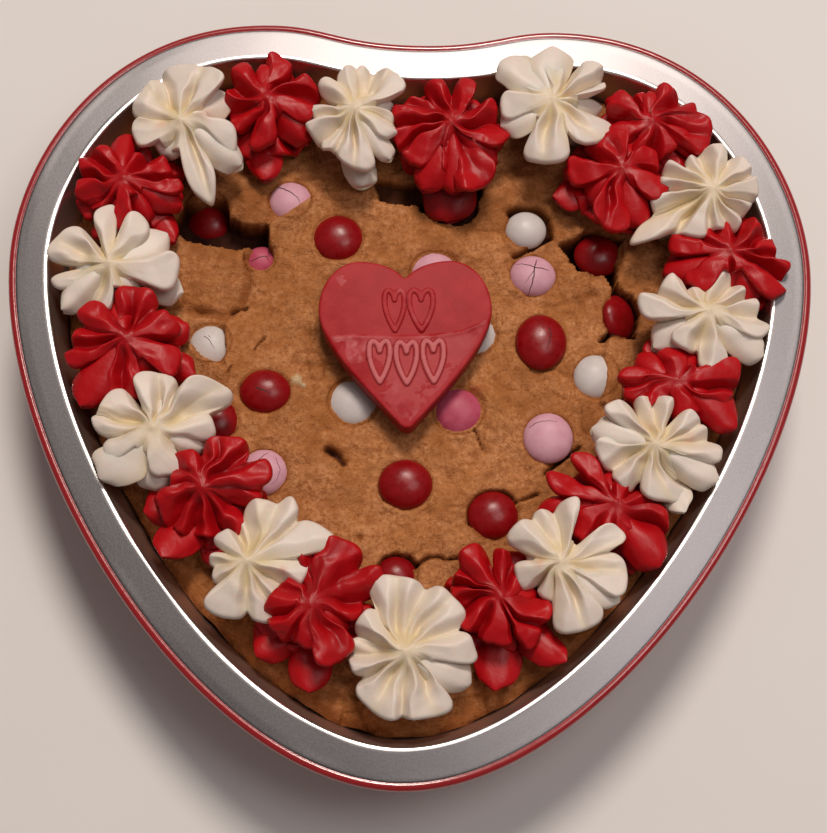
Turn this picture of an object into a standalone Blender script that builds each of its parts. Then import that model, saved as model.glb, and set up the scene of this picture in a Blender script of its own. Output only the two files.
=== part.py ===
"""A heart-shaped cookie cake in its own tin, with piped icing rosettes, candies and a moulded candy heart.

All sizes are millimetres until a mesh is made. The origin is under the middle of the tin, on the surface
it stands on, with +Z up, +Y towards the heart's notch and -Y towards its tip.
"""

import math
import random

import bpy
from mathutils import Vector, geometry, noise

MM = 0.001
GAP = 0.35
SHARP_DEGREES = 50.0

# The tin: the bead is the rolled outer edge, and offsets run inwards from the bead's centre line.
BEAD_HALF_WIDTH = 100.0
BEAD_RADIUS = 2.0
LOBE_PEAK = (37.5, 96.6)
NOTCH_Y = 91.8
WIDEST_Y = 32.0
TIP_Y = -96.6
NOTCH_PULL = 20.2
LOBE_INNER_PULL = 13.4
LOBE_OUTER_PULL = 43.1
SHOULDER_PULL = 26.4
FLANK_PULL = 51.5
TIP_PULL = 47.0
RIM_HEIGHT = 36.0
SHEET = 0.8
FLANGE_INSET = 8.65
WALL_LEAN = math.tan(math.radians(12.0))
CORNER_RADIUS = 4.2

# The cookie fills the tin to a finger's breadth under the rim.
COOKIE_TOP = 27.0
COOKIE_EDGE_INSET = 13.4
COOKIE_EDGE_Z = 26.2
COOKIE_BASE = SHEET + GAP
GRID_STEP = 6.9
GRID_SHIFT = 0.2
POINT_SPACING = 2.2
RELIEF = 0.55

# Chunks that stand proud of the surface: x, y, radius, rise.
CHUNKS = (
    (-43, 51, 8, 1.4),
    (22, 54, 9, 1.6),
    (-15, 54, 8, 1.0),
    (-54, 30, 9, 0.8),
    (56, 36, 5, 0.8),
    (53, 11, 6, 0.9),
    (39, 49, 5, 0.7),
    (0, 10, 16, 0.9),
    (6, -34, 12, 0.6),
)

# Deep gaps between chunks: outline, then depth.
CREVICE = ((-66, 49), (-56, 46), (-47, 45.5), (-37.5, 45), (-36.6, 37), (-44, 37), (-51, 37.5), (-59, 40.5))
BROKEN_EDGE = (
    (36.5, 42.5), (38.5, 41), (43, 34.5), (50, 33.3), (52.4, 30), (50.6, 19), (48.8, 15.6),
    (58, 16.5), (60, 24), (57.5, 29), (54, 30.5), (53, 38), (56, 44), (48, 46), (41, 44),
)
LUMP_SHADOW = ((1, 52), (3, 47.5), (10, 47), (18, 47.2), (17, 50), (8, 53))
GAPS = ((CREVICE, 8.0), (BROKEN_EDGE, 8.5), (LUMP_SHADOW, 5.0))
GAP_WALL = 1.2
GAP_MARGIN = 0.6

# Sugar-shell candies: colour, x, y, equator above the cookie's top, width, length, turn, tilt.
CANDY_THICKNESS = 6.6
CANDY_SIDES = 10
CANDY_SHOULDER = (0.66, 0.74)
POCKET_LIP = 1.12
POCKET_WALL = (1.06, 1.2)
POCKET_FLOOR = (0.70, 4.1)
POCKET_MIDDLE = 4.2
POCKET_MARGIN = 1.6
CANDIES = (
    ("red", -19.1, 42.1, -0.8, 13.4, 12.8, 10, 0),
    ("pink", -31.6, 51.0, -1.0, 13.0, 12.6, 0, 0),
    ("pink", -39.6, 35.6, -5.2, 11.4, 11.0, 0, 0),
    ("red", 33.7, 14.8, 0.1, 13.2, 15.0, 8, 0),
    ("pink", 5.7, 31.4, -1.9, 13.4, 13.4, 0, 0),
    ("white", 30.4, 45.3, -1.2, 12.6, 11.8, 0, 0),
    ("pink", 32.6, 32.2, -0.9, 12.6, 12.4, 0, 0),
    ("red", 48.3, 38.6, -4.2, 12.6, 12.0, 0, 0),
    ("red", 54.4, 22.3, -4.6, 12.6, 12.6, 0, 42),
    ("white", 47.8, 6.1, -0.9, 11.6, 12.4, 0, 0),
    ("pink", 35.6, -10.4, -0.2, 12.6, 13.8, 0, 0),
    ("pink", 13.0, -3.6, -1.9, 13.0, 13.2, 0, 0),
    ("white", -12.8, -1.8, -1.9, 13.2, 13.2, 0, 0),
    ("red", -36.1, 0.1, -0.6, 13.2, 12.2, 0, 0),
    ("white", -50.7, 12.3, -2.2, 11.4, 11.6, 30, 0),
    ("pink", -35.4, -20.7, -1.3, 12.0, 12.4, 0, 0),
    ("red", 0.0, -23.2, -0.2, 13.6, 13.4, 0, 0),
    ("red", 21.9, -30.4, -1.0, 12.8, 13.0, 0, 0),
    ("red", -1.3, -46.6, -1.6, 12.8, 12.8, 0, 0),
    ("red", -51.3, 46.5, -5.4, 12.4, 12.4, 0, 0),
    ("red", -48.6, -7.8, -1.2, 12.4, 12.8, 0, 0),
    ("white", 15.2, 14.6, -1.9, 13.2, 13.2, 0, 0),
)

# The moulded candy heart that lies on the cookie.
HEART_PLACE = (-0.7, 0.0)
HEART_TURN = 2.6
HEART_BASE = 28.9
HEART_CLEARING = (-0.7, 12.0, 26.0)
HEART_THICKNESS = 6.2

# Rosettes: colour, x, y, then each petal's direction in degrees and its reach from the swirl's centre.
ROSETTE_BASE = COOKIE_TOP + GAP
ROSETTE_HEIGHT = 16.4
ROSETTES = (
    ("white", -59.5, 66.5,
     {52: 18.5, 98: 17.5, 135: 15, 190: 12.5, 228: 10, 293: 20.5, 341: 15.5}),
    ("red", -38.0, 74.0,
     {20: 13, 82: 13.5, 145: 12.5, 187: 11, 222: 10, 270: 21, 318: 14}),
    ("white", -15.0, 71.0,
     {35: 14, 72: 15, 105: 14, 140: 12.5, 183: 11.5, 222: 12, 280: 19.5, 315: 14, 355: 10}),
    ("red", 9.3, 68.5,
     {25: 12, 70: 14, 108: 13, 148: 13, 190: 15.5, 240: 17, 272: 18, 315: 17, 345: 16}),
    ("white", 35.5, 75.0,
     {22: 14.5, 50: 15, 90: 15.5, 145: 17, 197: 14.5, 260: 16, 302: 16, 350: 12.5}),
    ("red", 61.0, 70.5,
     {5: 16, 63: 12.5, 100: 9.5, 135: 12, 180: 10, 270: 9, 335: 13}),
    ("red", 50.5, 54.0,
     {100: 9, 165: 11, 205: 16, 240: 13, 285: 13, 330: 11, 30: 9}),
    ("white", 75.5, 51.5,
     {30: 12, 92: 12.5, 145: 13, 183: 14, 218: 20.5, 250: 11, 343: 10.5}),
    ("red", 80.0, 35.6,
     {18: 12.5, 55: 12, 110: 8, 172: 15, 205: 16.5, 235: 14, 318: 15, 350: 14.5}),
    ("white", 73.5, 19.0,
     {22: 14.5, 75: 12.5, 140: 11, 172: 15.5, 213: 15, 278: 14, 325: 17, 350: 15}),
    ("red", 66.0, 1.5,
     {15: 16, 95: 9.5, 140: 12, 178: 14, 220: 8, 275: 8, 325: 17}),
    ("white", 59.7, -15.4,
     {35: 14.5, 88: 12.5, 128: 13.5, 160: 14, 192: 13.5, 240: 11.5, 288: 16, 322: 17.5, 357: 17}),
    ("red", 50.5, -29.5,
     {50: 8, 122: 16, 170: 18, 225: 9, 265: 13, 300: 19, 340: 13}),
    ("white", 37.0, -44.7,
     {38: 17.5, 88: 15.5, 140: 14, 205: 11, 250: 9, 288: 16, 335: 17}),
    ("red", 23.0, -53.0,
     {20: 12, 75: 12, 122: 14, 160: 11.5, 225: 9, 272: 22, 315: 20, 345: 14}),
    ("white", 0.8, -66.5,
     {8: 16, 58: 17.5, 110: 17.5, 148: 13.5, 172: 12, 195: 12.5, 245: 15, 295: 15.5, 330: 16.5}),
    ("red", -21.5, -56.0,
     {25: 17, 70: 16, 108: 13, 160: 9, 225: 17, 268: 21, 305: 14, 345: 12}),
    ("white", -37.0, -46.0,
     {28: 19, 65: 16.5, 130: 9.5, 175: 8.5, 238: 14.5, 278: 14.5, 308: 10, 340: 13}),
    ("red", -48.5, -28.5,
     {15: 16.5, 65: 13.5, 135: 9, 195: 15.5, 240: 18.5, 277: 20, 320: 11}),
    ("white", -61.2, -14.0,
     {10: 12, 48: 16.5, 86: 14, 150: 13.5, 180: 15, 228: 18, 262: 14.5, 302: 11, 347: 11.5}),
    ("red", -69.6, 8.3,
     {25: 16, 75: 14.5, 145: 14, 195: 15, 240: 17, 285: 11, 340: 18, 357: 15}),
    ("white", -75.0, 28.0,
     {8: 17, 42: 16.5, 95: 15.5, 148: 15.5, 197: 14.5, 225: 16, 258: 10, 278: 12, 335: 17.5}),
    ("red", -73.0, 51.0,
     {25: 10, 60: 8, 100: 13, 150: 14.5, 195: 12, 228: 10, 265: 12, 340: 16.5}),
)
WHITE_SHARE = 0.54
SEAT_SHARE = 0.72
NEAR_ROSETTE = 45.0
WIDEST_PETAL = 54
CREASE_REACH = 0.74
PETAL_SPREAD = 0.34
SHOULDER_REACH = 0.9
SHOULDER_CREASE = 0.2
OVERHANG_LEVEL = RIM_HEIGHT + 0.5
# Height of each ring, then the share of the reach that crests and creases take there.
ROSETTE_LEVELS = (
    (ROSETTE_BASE, 0.60, 0.60),
    (32.0, 0.82, 0.70),
    (OVERHANG_LEVEL, 0.94, 0.72),
    (38.4, 1.00, 0.66),
    (41.6, 0.52, 0.30),
)


def bezier(start, pull_a, pull_b, end, count):
    """Points along a cubic curve, without its last one."""
    points = []
    for index in range(count):
        t = index / count
        s = 1.0 - t
        weights = (s * s * s, 3 * s * s * t, 3 * s * t * t, t * t * t)
        corners = (start, pull_a, pull_b, end)
        points.append(tuple(sum(w * c[axis] for w, c in zip(weights, corners)) for axis in (0, 1)))
    return points


def mirrored_loop(right_half, tip):
    """A closed counter-clockwise loop from its right half, which runs from the notch to the tip."""
    left_half = [(-x, y) for x, y in right_half[1:]]
    return [tip] + right_half[::-1] + left_half


def tin_outline():
    """The bead's centre line as a closed loop."""
    notch = (0.0, NOTCH_Y)
    peak = LOBE_PEAK
    widest = (BEAD_HALF_WIDTH, WIDEST_Y)
    tip = (0.0, TIP_Y)
    half = bezier(notch, (NOTCH_PULL, NOTCH_Y), (peak[0] - LOBE_INNER_PULL, peak[1]), peak, 4)
    shoulder = (widest[0], widest[1] + SHOULDER_PULL)
    half += bezier(peak, (peak[0] + LOBE_OUTER_PULL, peak[1]), shoulder, widest, 10)
    half += bezier(widest, (widest[0], widest[1] - FLANK_PULL), (TIP_PULL, TIP_Y), tip, 14)
    return mirrored_loop(half, tip)


def inward_normals(loop):
    """Unit vectors that point into a counter-clockwise loop."""
    normals = []
    for index in range(len(loop)):
        x0, y0 = loop[index - 1]
        x1, y1 = loop[(index + 1) % len(loop)]
        length = math.hypot(x1 - x0, y1 - y0)
        normals.append((-(y1 - y0) / length, (x1 - x0) / length))
    return normals


TIN_LOOP = tin_outline()
TIN_NORMALS = inward_normals(TIN_LOOP)


def inset_loop(inset):
    """The tin's outline moved inwards."""
    return [(x + nx * inset, y + ny * inset) for (x, y), (nx, ny) in zip(TIN_LOOP, TIN_NORMALS)]


def wall_inset(z):
    """How far in from the bead the wall's inner face stands at a height."""
    return FLANGE_INSET + (RIM_HEIGHT - z) * WALL_LEAN


def principled(name, colour, roughness, metallic=0.0):
    material = bpy.data.materials.new(name)
    material.use_nodes = True
    shader = material.node_tree.nodes["Principled BSDF"]
    shader.inputs["Base Color"].default_value = (*colour, 1.0)
    shader.inputs["Roughness"].default_value = roughness
    shader.inputs["Metallic"].default_value = metallic
    return material


def add_object(name, points, faces, material):
    """One closed body, from points in millimetres."""
    mesh = bpy.data.meshes.new(name)
    mesh.from_pydata([tuple(value * MM for value in point) for point in points], [], faces)
    mesh.materials.append(material)
    mesh.shade_smooth()
    mesh.set_sharp_from_angle(angle=math.radians(SHARP_DEGREES))
    mesh.validate()
    item = bpy.data.objects.new(name, mesh)
    bpy.context.scene.collection.objects.link(item)
    return item


def lofted(rings, cap_first=True, cap_last=True):
    """Points and faces that join rings of equal length; the first ring is the lower or inner start."""
    count = len(rings[0])
    points = [point for ring in rings for point in ring]
    faces = []
    for level in range(len(rings) - 1):
        low = level * count
        high = low + count
        for index in range(count):
            after = (index + 1) % count
            faces.append((low + index, low + after, high + after, high + index))
    if cap_first:
        faces.append(tuple(range(count))[::-1])
    if cap_last:
        faces.append(tuple(range(len(points) - count, len(points))))
    return points, faces


def make_tin(material):
    """Floor, leaning wall, flat flange and rolled bead, as one sheet-metal body."""
    wall_floor = wall_inset(SHEET)
    outer = SHEET / math.cos(math.atan(WALL_LEAN))
    curl_centre = RIM_HEIGHT - BEAD_RADIUS
    section = [
        (wall_inset(0.0) + CORNER_RADIUS, 0.0),
        (wall_inset(0.0) + 0.3 * CORNER_RADIUS - outer, 0.3 * CORNER_RADIUS),
        (wall_inset(CORNER_RADIUS) - outer, CORNER_RADIUS),
        (FLANGE_INSET - outer, RIM_HEIGHT - 1.6),
        (FLANGE_INSET - 1.6, RIM_HEIGHT - SHEET),
        (BEAD_RADIUS, RIM_HEIGHT - SHEET),
    ]
    for degrees in (-10, -60, -110, -155, 160, 125, 90):
        angle = math.radians(degrees)
        section.append((BEAD_RADIUS * math.cos(angle), curl_centre + BEAD_RADIUS * math.sin(angle)))
    section += [
        (FLANGE_INSET - 0.9, RIM_HEIGHT),
        (FLANGE_INSET - 0.1, RIM_HEIGHT - 0.7),
        (wall_inset(SHEET + CORNER_RADIUS), SHEET + CORNER_RADIUS),
        (wall_floor + 0.3 * CORNER_RADIUS, SHEET + 0.3 * CORNER_RADIUS),
        (wall_floor + CORNER_RADIUS, SHEET),
    ]
    rings = [[(x, y, z) for x, y in inset_loop(inset)] for inset, z in section]
    points, faces = lofted(rings)
    return add_object("heart_tin", points, faces, material)


def side_of(ax, ay, bx, by, x, y):
    return (bx - ax) * (y - ay) - (by - ay) * (x - ax)


def inside(loop, x, y):
    """Whether a point lies in a closed outline."""
    hit = False
    for (ax, ay), (bx, by) in zip(loop, loop[1:] + loop[:1]):
        if (ay > y) != (by > y) and x < (bx - ax) * (y - ay) / (by - ay) + ax:
            hit = not hit
    return hit


def edge_distance(loop, x, y):
    """Distance from a point to the nearest edge of an outline."""
    best = math.inf
    for (ax, ay), (bx, by) in zip(loop, loop[1:] + loop[:1]):
        dx, dy = bx - ax, by - ay
        t = max(0.0, min(1.0, ((x - ax) * dx + (y - ay) * dy) / (dx * dx + dy * dy)))
        best = min(best, math.hypot(ax + t * dx - x, ay + t * dy - y))
    return best


def ease(t):
    """A share from 0 to 1 with soft ends."""
    t = max(0.0, min(1.0, t))
    return t * t * (3.0 - 2.0 * t)


def crumb_height(x, y):
    """The cookie's top, without the pockets that the candies press into it."""
    height = COOKIE_TOP + RELIEF * noise.noise(Vector((x / 11.0, y / 11.0, 3.0)))
    height += 0.5 * RELIEF * noise.noise(Vector((x / 5.0, y / 5.0, 7.0)))
    for cx, cy, radius, rise in CHUNKS:
        height += rise * ease(1.0 - math.hypot(x - cx, y - cy) / radius)
    for outline, depth in GAPS:
        loop = list(outline)
        if inside(loop, x, y):
            height -= depth * ease(edge_distance(loop, x, y) / GAP_WALL)
    for _, cx, cy, petals in ROSETTES:
        if math.hypot(x - cx, y - cy) < SEAT_SHARE * max(petals.values()) + 2.0:
            height = min(height, COOKIE_TOP - 0.1)
    if math.hypot(x - HEART_CLEARING[0], y - HEART_CLEARING[1]) < HEART_CLEARING[2]:
        height = min(height, HEART_BASE - 0.9)
    return height


def pocket_rings(candy):
    """Points of the pocket under a candy: share of its half-width, then depth from its equator."""
    _, cx, cy, rise, width, length, turn, tilt = candy
    middle = COOKIE_TOP + rise
    spread = 0.35 * abs(math.sin(math.radians(tilt)))
    drop = 0.5 * width * abs(math.sin(math.radians(tilt)))
    points = []
    for share, depth in ((POCKET_LIP, None), POCKET_WALL, POCKET_FLOOR):
        for step in range(CANDY_SIDES):
            angle = 2.0 * math.pi * step / CANDY_SIDES
            px = 0.5 * width * share * math.cos(angle)
            py = 0.5 * length * share * math.sin(angle)
            spin = math.radians(turn)
            x = cx + px * math.cos(spin) - py * math.sin(spin)
            y = cy + px * math.sin(spin) + py * math.cos(spin)
            ground = crumb_height(x, y)
            z = ground if depth is None else min(ground, middle - depth - drop + spread)
            points.append((x, y, z))
    points.append((cx, cy, min(crumb_height(cx, cy), middle - POCKET_MIDDLE - drop)))
    return points


def near_pocket(x, y, margin):
    for _, cx, cy, _, width, length, _, _ in CANDIES:
        if math.hypot(x - cx, y - cy) < 0.5 * max(width, length) * POCKET_LIP + margin:
            return True
    return False


def gap_points():
    """Points on the lip and on the floor's edge of each deep gap."""
    points = []
    for outline, _ in GAPS:
        loop = list(outline)
        normals = inward_normals(loop)
        turn = sum(side_of(*loop[i - 1], *loop[i], *loop[(i + 1) % len(loop)]) for i in range(len(loop)))
        sign = 1.0 if turn > 0 else -1.0
        for index, (ax, ay) in enumerate(loop):
            nx, ny = normals[index]
            for inset in (0.0, GAP_WALL + 0.1):
                x, y = ax + sign * nx * inset, ay + sign * ny * inset
                if not near_pocket(x, y, GAP_MARGIN):
                    points.append((x, y, crumb_height(x, y)))
    return points


def surface_points(boundary):
    """Scattered points over the top, evenly spaced with a seeded shift."""
    draw = random.Random(11)
    points = gap_points()
    for candy in CANDIES:
        points += pocket_rings(candy)
    taken = list(points)
    row = 0
    y = TIP_Y
    while y < LOBE_PEAK[1]:
        x = -BEAD_HALF_WIDTH + (row % 2) * GRID_STEP / 2
        while x < BEAD_HALF_WIDTH:
            px = x + draw.uniform(-GRID_SHIFT, GRID_SHIFT) * GRID_STEP
            py = y + draw.uniform(-GRID_SHIFT, GRID_SHIFT) * GRID_STEP
            clear = inside(boundary, px, py) and edge_distance(boundary, px, py) > 0.45 * GRID_STEP
            clear = clear and not near_pocket(px, py, POCKET_MARGIN)
            if clear and all(math.hypot(px - qx, py - qy) > POINT_SPACING for qx, qy, _ in taken):
                points.append((px, py, crumb_height(px, py)))
            x += GRID_STEP
        y += GRID_STEP * math.sqrt(0.75)
        row += 1
    return points


def make_cookie(material):
    """The whole cookie: its side follows the tin's wall, and its top is a triangulated relief."""
    side = [
        (wall_inset(COOKIE_BASE) + CORNER_RADIUS + 0.6, COOKIE_BASE),
        (wall_inset(COOKIE_BASE) + 0.45 * CORNER_RADIUS + 0.4, COOKIE_BASE + 0.45 * CORNER_RADIUS),
        (wall_inset(7.0) + 0.5, 7.0),
        (wall_inset(20.5) + 0.5, 20.5),
        (wall_inset(24.2) + 1.1, 24.2),
    ]
    rings = [[(x, y, z) for x, y in inset_loop(inset)] for inset, z in side]
    boundary = inset_loop(COOKIE_EDGE_INSET)
    rings.append([(x, y, COOKIE_EDGE_Z) for x, y in boundary])
    points, faces = lofted(rings, cap_last=False)
    edge_start = len(points) - len(boundary)
    scattered = surface_points(boundary)
    flat = [Vector(point) for point in boundary] + [Vector((x, y)) for x, y, _ in scattered]
    outline = [list(range(len(boundary)))]
    made = geometry.delaunay_2d_cdt(flat, [], outline, 1, 1e-5)
    triangles, origins = made[2], made[3]
    for triangle in triangles:
        corner = []
        for vertex in triangle:
            origin = origins[vertex][0]
            corner.append(edge_start + origin)
        faces.append(tuple(corner))
    points += scattered
    return add_object("cookie", points, faces, material)


def lentil(name, candy, material):
    """A sugar-shell candy: a domed disc with a narrow waist."""
    _, cx, cy, rise, width, length, turn, tilt = candy
    half = 0.5 * CANDY_THICKNESS
    spin = math.radians(turn)
    lean = math.radians(tilt)
    share, lift = CANDY_SHOULDER
    levels = ((0.0, -1.0), (share, -lift), (1.0, 0.0), (share, lift), (0.0, 1.0))
    points = []
    for share, lift in levels:
        steps = CANDY_SIDES if share else 1
        for step in range(steps):
            angle = 2.0 * math.pi * step / CANDY_SIDES
            px = 0.5 * width * share * math.cos(angle)
            py = 0.5 * length * share * math.sin(angle)
            pz = half * lift
            px, pz = px * math.cos(lean) + pz * math.sin(lean), pz * math.cos(lean) - px * math.sin(lean)
            x = cx + px * math.cos(spin) - py * math.sin(spin)
            y = cy + px * math.sin(spin) + py * math.cos(spin)
            points.append((x, y, COOKIE_TOP + rise + pz))
    faces = []
    waist = 1 + CANDY_SIDES
    crown = 1 + 2 * CANDY_SIDES
    for step in range(CANDY_SIDES):
        after = (step + 1) % CANDY_SIDES
        faces.append((0, 1 + after, 1 + step))
        for level in (1, waist):
            above = level + CANDY_SIDES
            faces.append((level + step, level + after, above + after, above + step))
        faces.append((crown + step, crown + after, len(points) - 1))
    return add_object(name, points, faces, material)


def make_candies(materials):
    counts = {}
    for candy in CANDIES:
        colour = candy[0]
        counts[colour] = counts.get(colour, 0) + 1
        lentil(f"candy_{colour}_{counts[colour]:02d}", candy, materials[colour])


def candy_heart_loop(inset):
    """The candy heart's outline, notch up, moved inwards."""
    notch, peak, widest, tip = (0.0, 27.2), (11.6, 32.0), (21.9, 19.0), (0.0, -12.0)
    half = bezier(notch, (2.2, 30.2), (6.6, 32.0), peak, 4)
    half += bezier(peak, (17.2, 32.0), (21.9, 26.2), widest, 4)
    half += bezier(widest, (21.9, 9.5), (7.5, -4.5), (1.6, -11.4), 7)
    half.append((1.6, -11.4))
    loop = mirrored_loop(half, tip)
    normals = inward_normals(loop)
    spin = math.radians(HEART_TURN)
    turned = []
    for (x, y), (nx, ny) in zip(loop, normals):
        x, y = x + nx * inset, y + ny * inset
        turned.append((
            HEART_PLACE[0] + x * math.cos(spin) - y * math.sin(spin),
            HEART_PLACE[1] + x * math.sin(spin) + y * math.cos(spin),
        ))
    return turned


def make_candy_heart(material):
    """A flat-backed cast heart with a rounded upper edge."""
    top = HEART_BASE + HEART_THICKNESS
    section = ((0.5, HEART_BASE), (0.0, HEART_BASE + 0.6), (0.1, top - 1.3), (0.5, top - 0.4), (1.5, top))
    rings = [[(x, y, z) for x, y in candy_heart_loop(inset)] for inset, z in section]
    points, faces = lofted(rings)
    return add_object("candy_heart", points, faces, material)


def ray_reach(loop, cx, cy, angle):
    """Distance from a point inside an outline to the outline, along a direction."""
    dx, dy = math.cos(angle), math.sin(angle)
    best = math.inf
    for (ax, ay), (bx, by) in zip(loop, loop[1:] + loop[:1]):
        ex, ey = bx - ax, by - ay
        cross = dx * ey - dy * ex
        if abs(cross) < 1e-9:
            continue
        along = ((ax - cx) * ey - (ay - cy) * ex) / cross
        part = ((ax - cx) * dy - (ay - cy) * dx) / cross
        if along > 0 and 0 <= part <= 1:
            best = min(best, along)
    return best


def neighbour_reach(index, angle):
    """How far a rosette may go before it meets the next rosettes."""
    colour, cx, cy, _ = ROSETTES[index]
    best = math.inf
    for other, (other_colour, ox, oy, _) in enumerate(ROSETTES):
        distance = math.hypot(ox - cx, oy - cy)
        if other == index or distance > NEAR_ROSETTE:
            continue
        share = 0.5
        if colour != other_colour:
            share = WHITE_SHARE if colour == "white" else 1.0 - WHITE_SHARE
        facing = (math.cos(angle) * (ox - cx) + math.sin(angle) * (oy - cy)) / distance
        if facing > 1e-6:
            best = min(best, (distance * share - 0.5 * GAP) / facing)
    return best


def petal_samples(petals):
    """Directions round a rosette with the reach there and how much of a crease each one is."""
    order = sorted(petals.items())
    samples = []
    for index, (degrees, reach) in enumerate(order):
        before, before_reach = order[index - 1]
        after, _ = order[(index + 1) % len(order)]
        gap_before = (degrees - before) % 360
        gap_after = (after - degrees) % 360
        crease_angle = degrees - gap_before / 2
        samples.append((crease_angle, CREASE_REACH * (reach + before_reach) / 2, 1.0))
        left_turn = PETAL_SPREAD * min(gap_before, WIDEST_PETAL)
        right_turn = PETAL_SPREAD * min(gap_after, WIDEST_PETAL)
        samples.append((degrees - left_turn, SHOULDER_REACH * reach, SHOULDER_CREASE))
        samples.append((degrees, reach, 0.0))
        samples.append((degrees + right_turn, SHOULDER_REACH * reach, SHOULDER_CREASE))
    return samples


def make_rosette(index, name, material):
    """Petals that flare from a narrow base and fold in to the swirl's tip."""
    _, cx, cy, petals = ROSETTES[index]
    samples = petal_samples(petals)
    rings = []
    for z, crest_share, crease_share in ROSETTE_LEVELS:
        wall = inset_loop(wall_inset(min(z, RIM_HEIGHT)) + 0.6)
        ring = []
        for degrees, reach, crease in samples:
            angle = math.radians(degrees)
            share = crest_share + (crease_share - crest_share) * crease
            radius = min(share * reach, neighbour_reach(index, angle))
            if z <= OVERHANG_LEVEL:
                radius = min(radius, ray_reach(wall, cx, cy, angle))
            ring.append((cx + radius * math.cos(angle), cy + radius * math.sin(angle), z))
        rings.append(ring)
    points, faces = lofted(rings, cap_last=False)
    last = len(points) - len(samples)
    points.append((cx, cy, ROSETTE_BASE + ROSETTE_HEIGHT))
    for step in range(len(samples)):
        faces.append((last + step, last + (step + 1) % len(samples), len(points) - 1))
    return add_object(name, points, faces, material)


def make_rosettes(materials):
    counts = {}
    for index, rosette in enumerate(ROSETTES):
        colour = rosette[0]
        counts[colour] = counts.get(colour, 0) + 1
        make_rosette(index, f"rosette_{colour}_{counts[colour]:02d}", materials[colour])


def clear_scene():
    for item in list(bpy.data.objects):
        bpy.data.objects.remove(item, do_unlink=True)


def main():
    clear_scene()
    tin = principled("tin_metal", (0.62, 0.61, 0.60), 0.35, 1.0)
    crumb = principled("baked_crumb", (0.50, 0.25, 0.09), 0.8)
    cast = principled("cast_candy", (0.45, 0.03, 0.04), 0.45)
    icing = {
        "white": principled("cream_icing", (0.85, 0.78, 0.62), 0.4),
        "red": principled("red_icing", (0.45, 0.01, 0.015), 0.3),
    }
    shell = {
        "red": principled("red_shell", (0.35, 0.01, 0.015), 0.2),
        "pink": principled("pink_shell", (0.72, 0.35, 0.42), 0.35),
        "white": principled("white_shell", (0.80, 0.78, 0.74), 0.3),
    }
    make_tin(tin)
    make_cookie(crumb)
    make_candy_heart(cast)
    make_candies(shell)
    make_rosettes(icing)


main()
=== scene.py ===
"""Looks of the heart-shaped cookie cake: its tin, crumb, icing rosettes, candies and moulded candy heart.

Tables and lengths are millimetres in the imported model's frame, and become metres only when a mesh is made:
+Z up, +Y towards the heart's notch, -Y towards its tip.
"""

import math

import bpy
import numpy as np
from mathutils import Matrix, Vector


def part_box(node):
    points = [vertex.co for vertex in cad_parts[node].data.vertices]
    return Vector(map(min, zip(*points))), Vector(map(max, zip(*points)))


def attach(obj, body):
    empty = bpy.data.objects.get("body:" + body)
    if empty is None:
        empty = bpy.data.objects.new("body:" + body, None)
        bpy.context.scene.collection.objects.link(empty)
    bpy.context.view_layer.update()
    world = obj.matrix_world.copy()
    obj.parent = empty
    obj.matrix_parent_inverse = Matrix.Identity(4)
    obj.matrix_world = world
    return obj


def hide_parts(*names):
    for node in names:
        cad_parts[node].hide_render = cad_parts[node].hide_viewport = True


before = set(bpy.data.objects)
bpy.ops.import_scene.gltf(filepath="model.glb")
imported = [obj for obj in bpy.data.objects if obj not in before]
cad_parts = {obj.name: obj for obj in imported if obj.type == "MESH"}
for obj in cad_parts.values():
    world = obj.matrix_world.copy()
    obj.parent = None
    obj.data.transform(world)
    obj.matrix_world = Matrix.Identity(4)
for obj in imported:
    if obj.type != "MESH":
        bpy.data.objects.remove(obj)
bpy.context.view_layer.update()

MM = 0.001

# The camera, solved from the tin's outline: it stands over the heart's tip and looks down.
CAMERA_PLACE = np.array((-1.07, -110.25, 416.0))
CAMERA_TARGET = np.array((1.54, -8.03, 36.0))
CAMERA_ROLL = -0.022
FOCAL_PIXELS = 1597.1
IMAGE_WIDTH = 827
SENSOR_WIDTH = 36.0

# Heights that the pieces share.
RIM_HEIGHT = 36.0
COOKIE_TOP = 27.0

# The tin's outline: the bead's centre line, and offsets that run inwards from it.
BEAD_HALF_WIDTH = 100.0
BEAD_RADIUS = 1.25
BEAD_SHIFT = -0.35
LOBE_PEAK = (37.5, 96.6)
NOTCH_Y = 91.8
WIDEST_Y = 32.0
TIP_Y = -96.6
NOTCH_PULL = 20.2
LOBE_INNER_PULL = 13.4
LOBE_OUTER_PULL = 43.1
SHOULDER_PULL = 26.4
FLANK_PULL = 51.5
TIP_PULL = 47.0
SHEET = 0.8
FLANGE_INSET = 8.65
WALL_LEAN = math.tan(math.radians(12.0))
CORNER_RADIUS = 4.2

LATTICE = np.random.default_rng(7).uniform(-1.0, 1.0, (256, 256))


def value_noise(x, y):
    """Smooth noise from -1 to 1, about one bump to a unit."""
    column, row = np.floor(x).astype(int), np.floor(y).astype(int)
    fx, fy = x - column, y - row
    fx, fy = fx * fx * (3 - 2 * fx), fy * fy * (3 - 2 * fy)
    west, east = column & 255, (column + 1) & 255
    south, north = row & 255, (row + 1) & 255
    low = LATTICE[west, south] * (1 - fx) + LATTICE[east, south] * fx
    high = LATTICE[west, north] * (1 - fx) + LATTICE[east, north] * fx
    return low * (1 - fy) + high * fy


def fractal(x, y, size, octaves=3, seed=0.0):
    """Noise whose largest bumps are about size across, with smaller ones on them."""
    x, y = np.asarray(x, float), np.asarray(y, float)
    total = np.zeros(np.broadcast(x, y).shape)
    weight = 1.0
    for octave in range(octaves):
        total += weight * value_noise(x / size + 17.3 * seed + 5.7 * octave, y / size + 9.1 * seed)
        size *= 0.5
        weight *= 0.5
    return total


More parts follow.
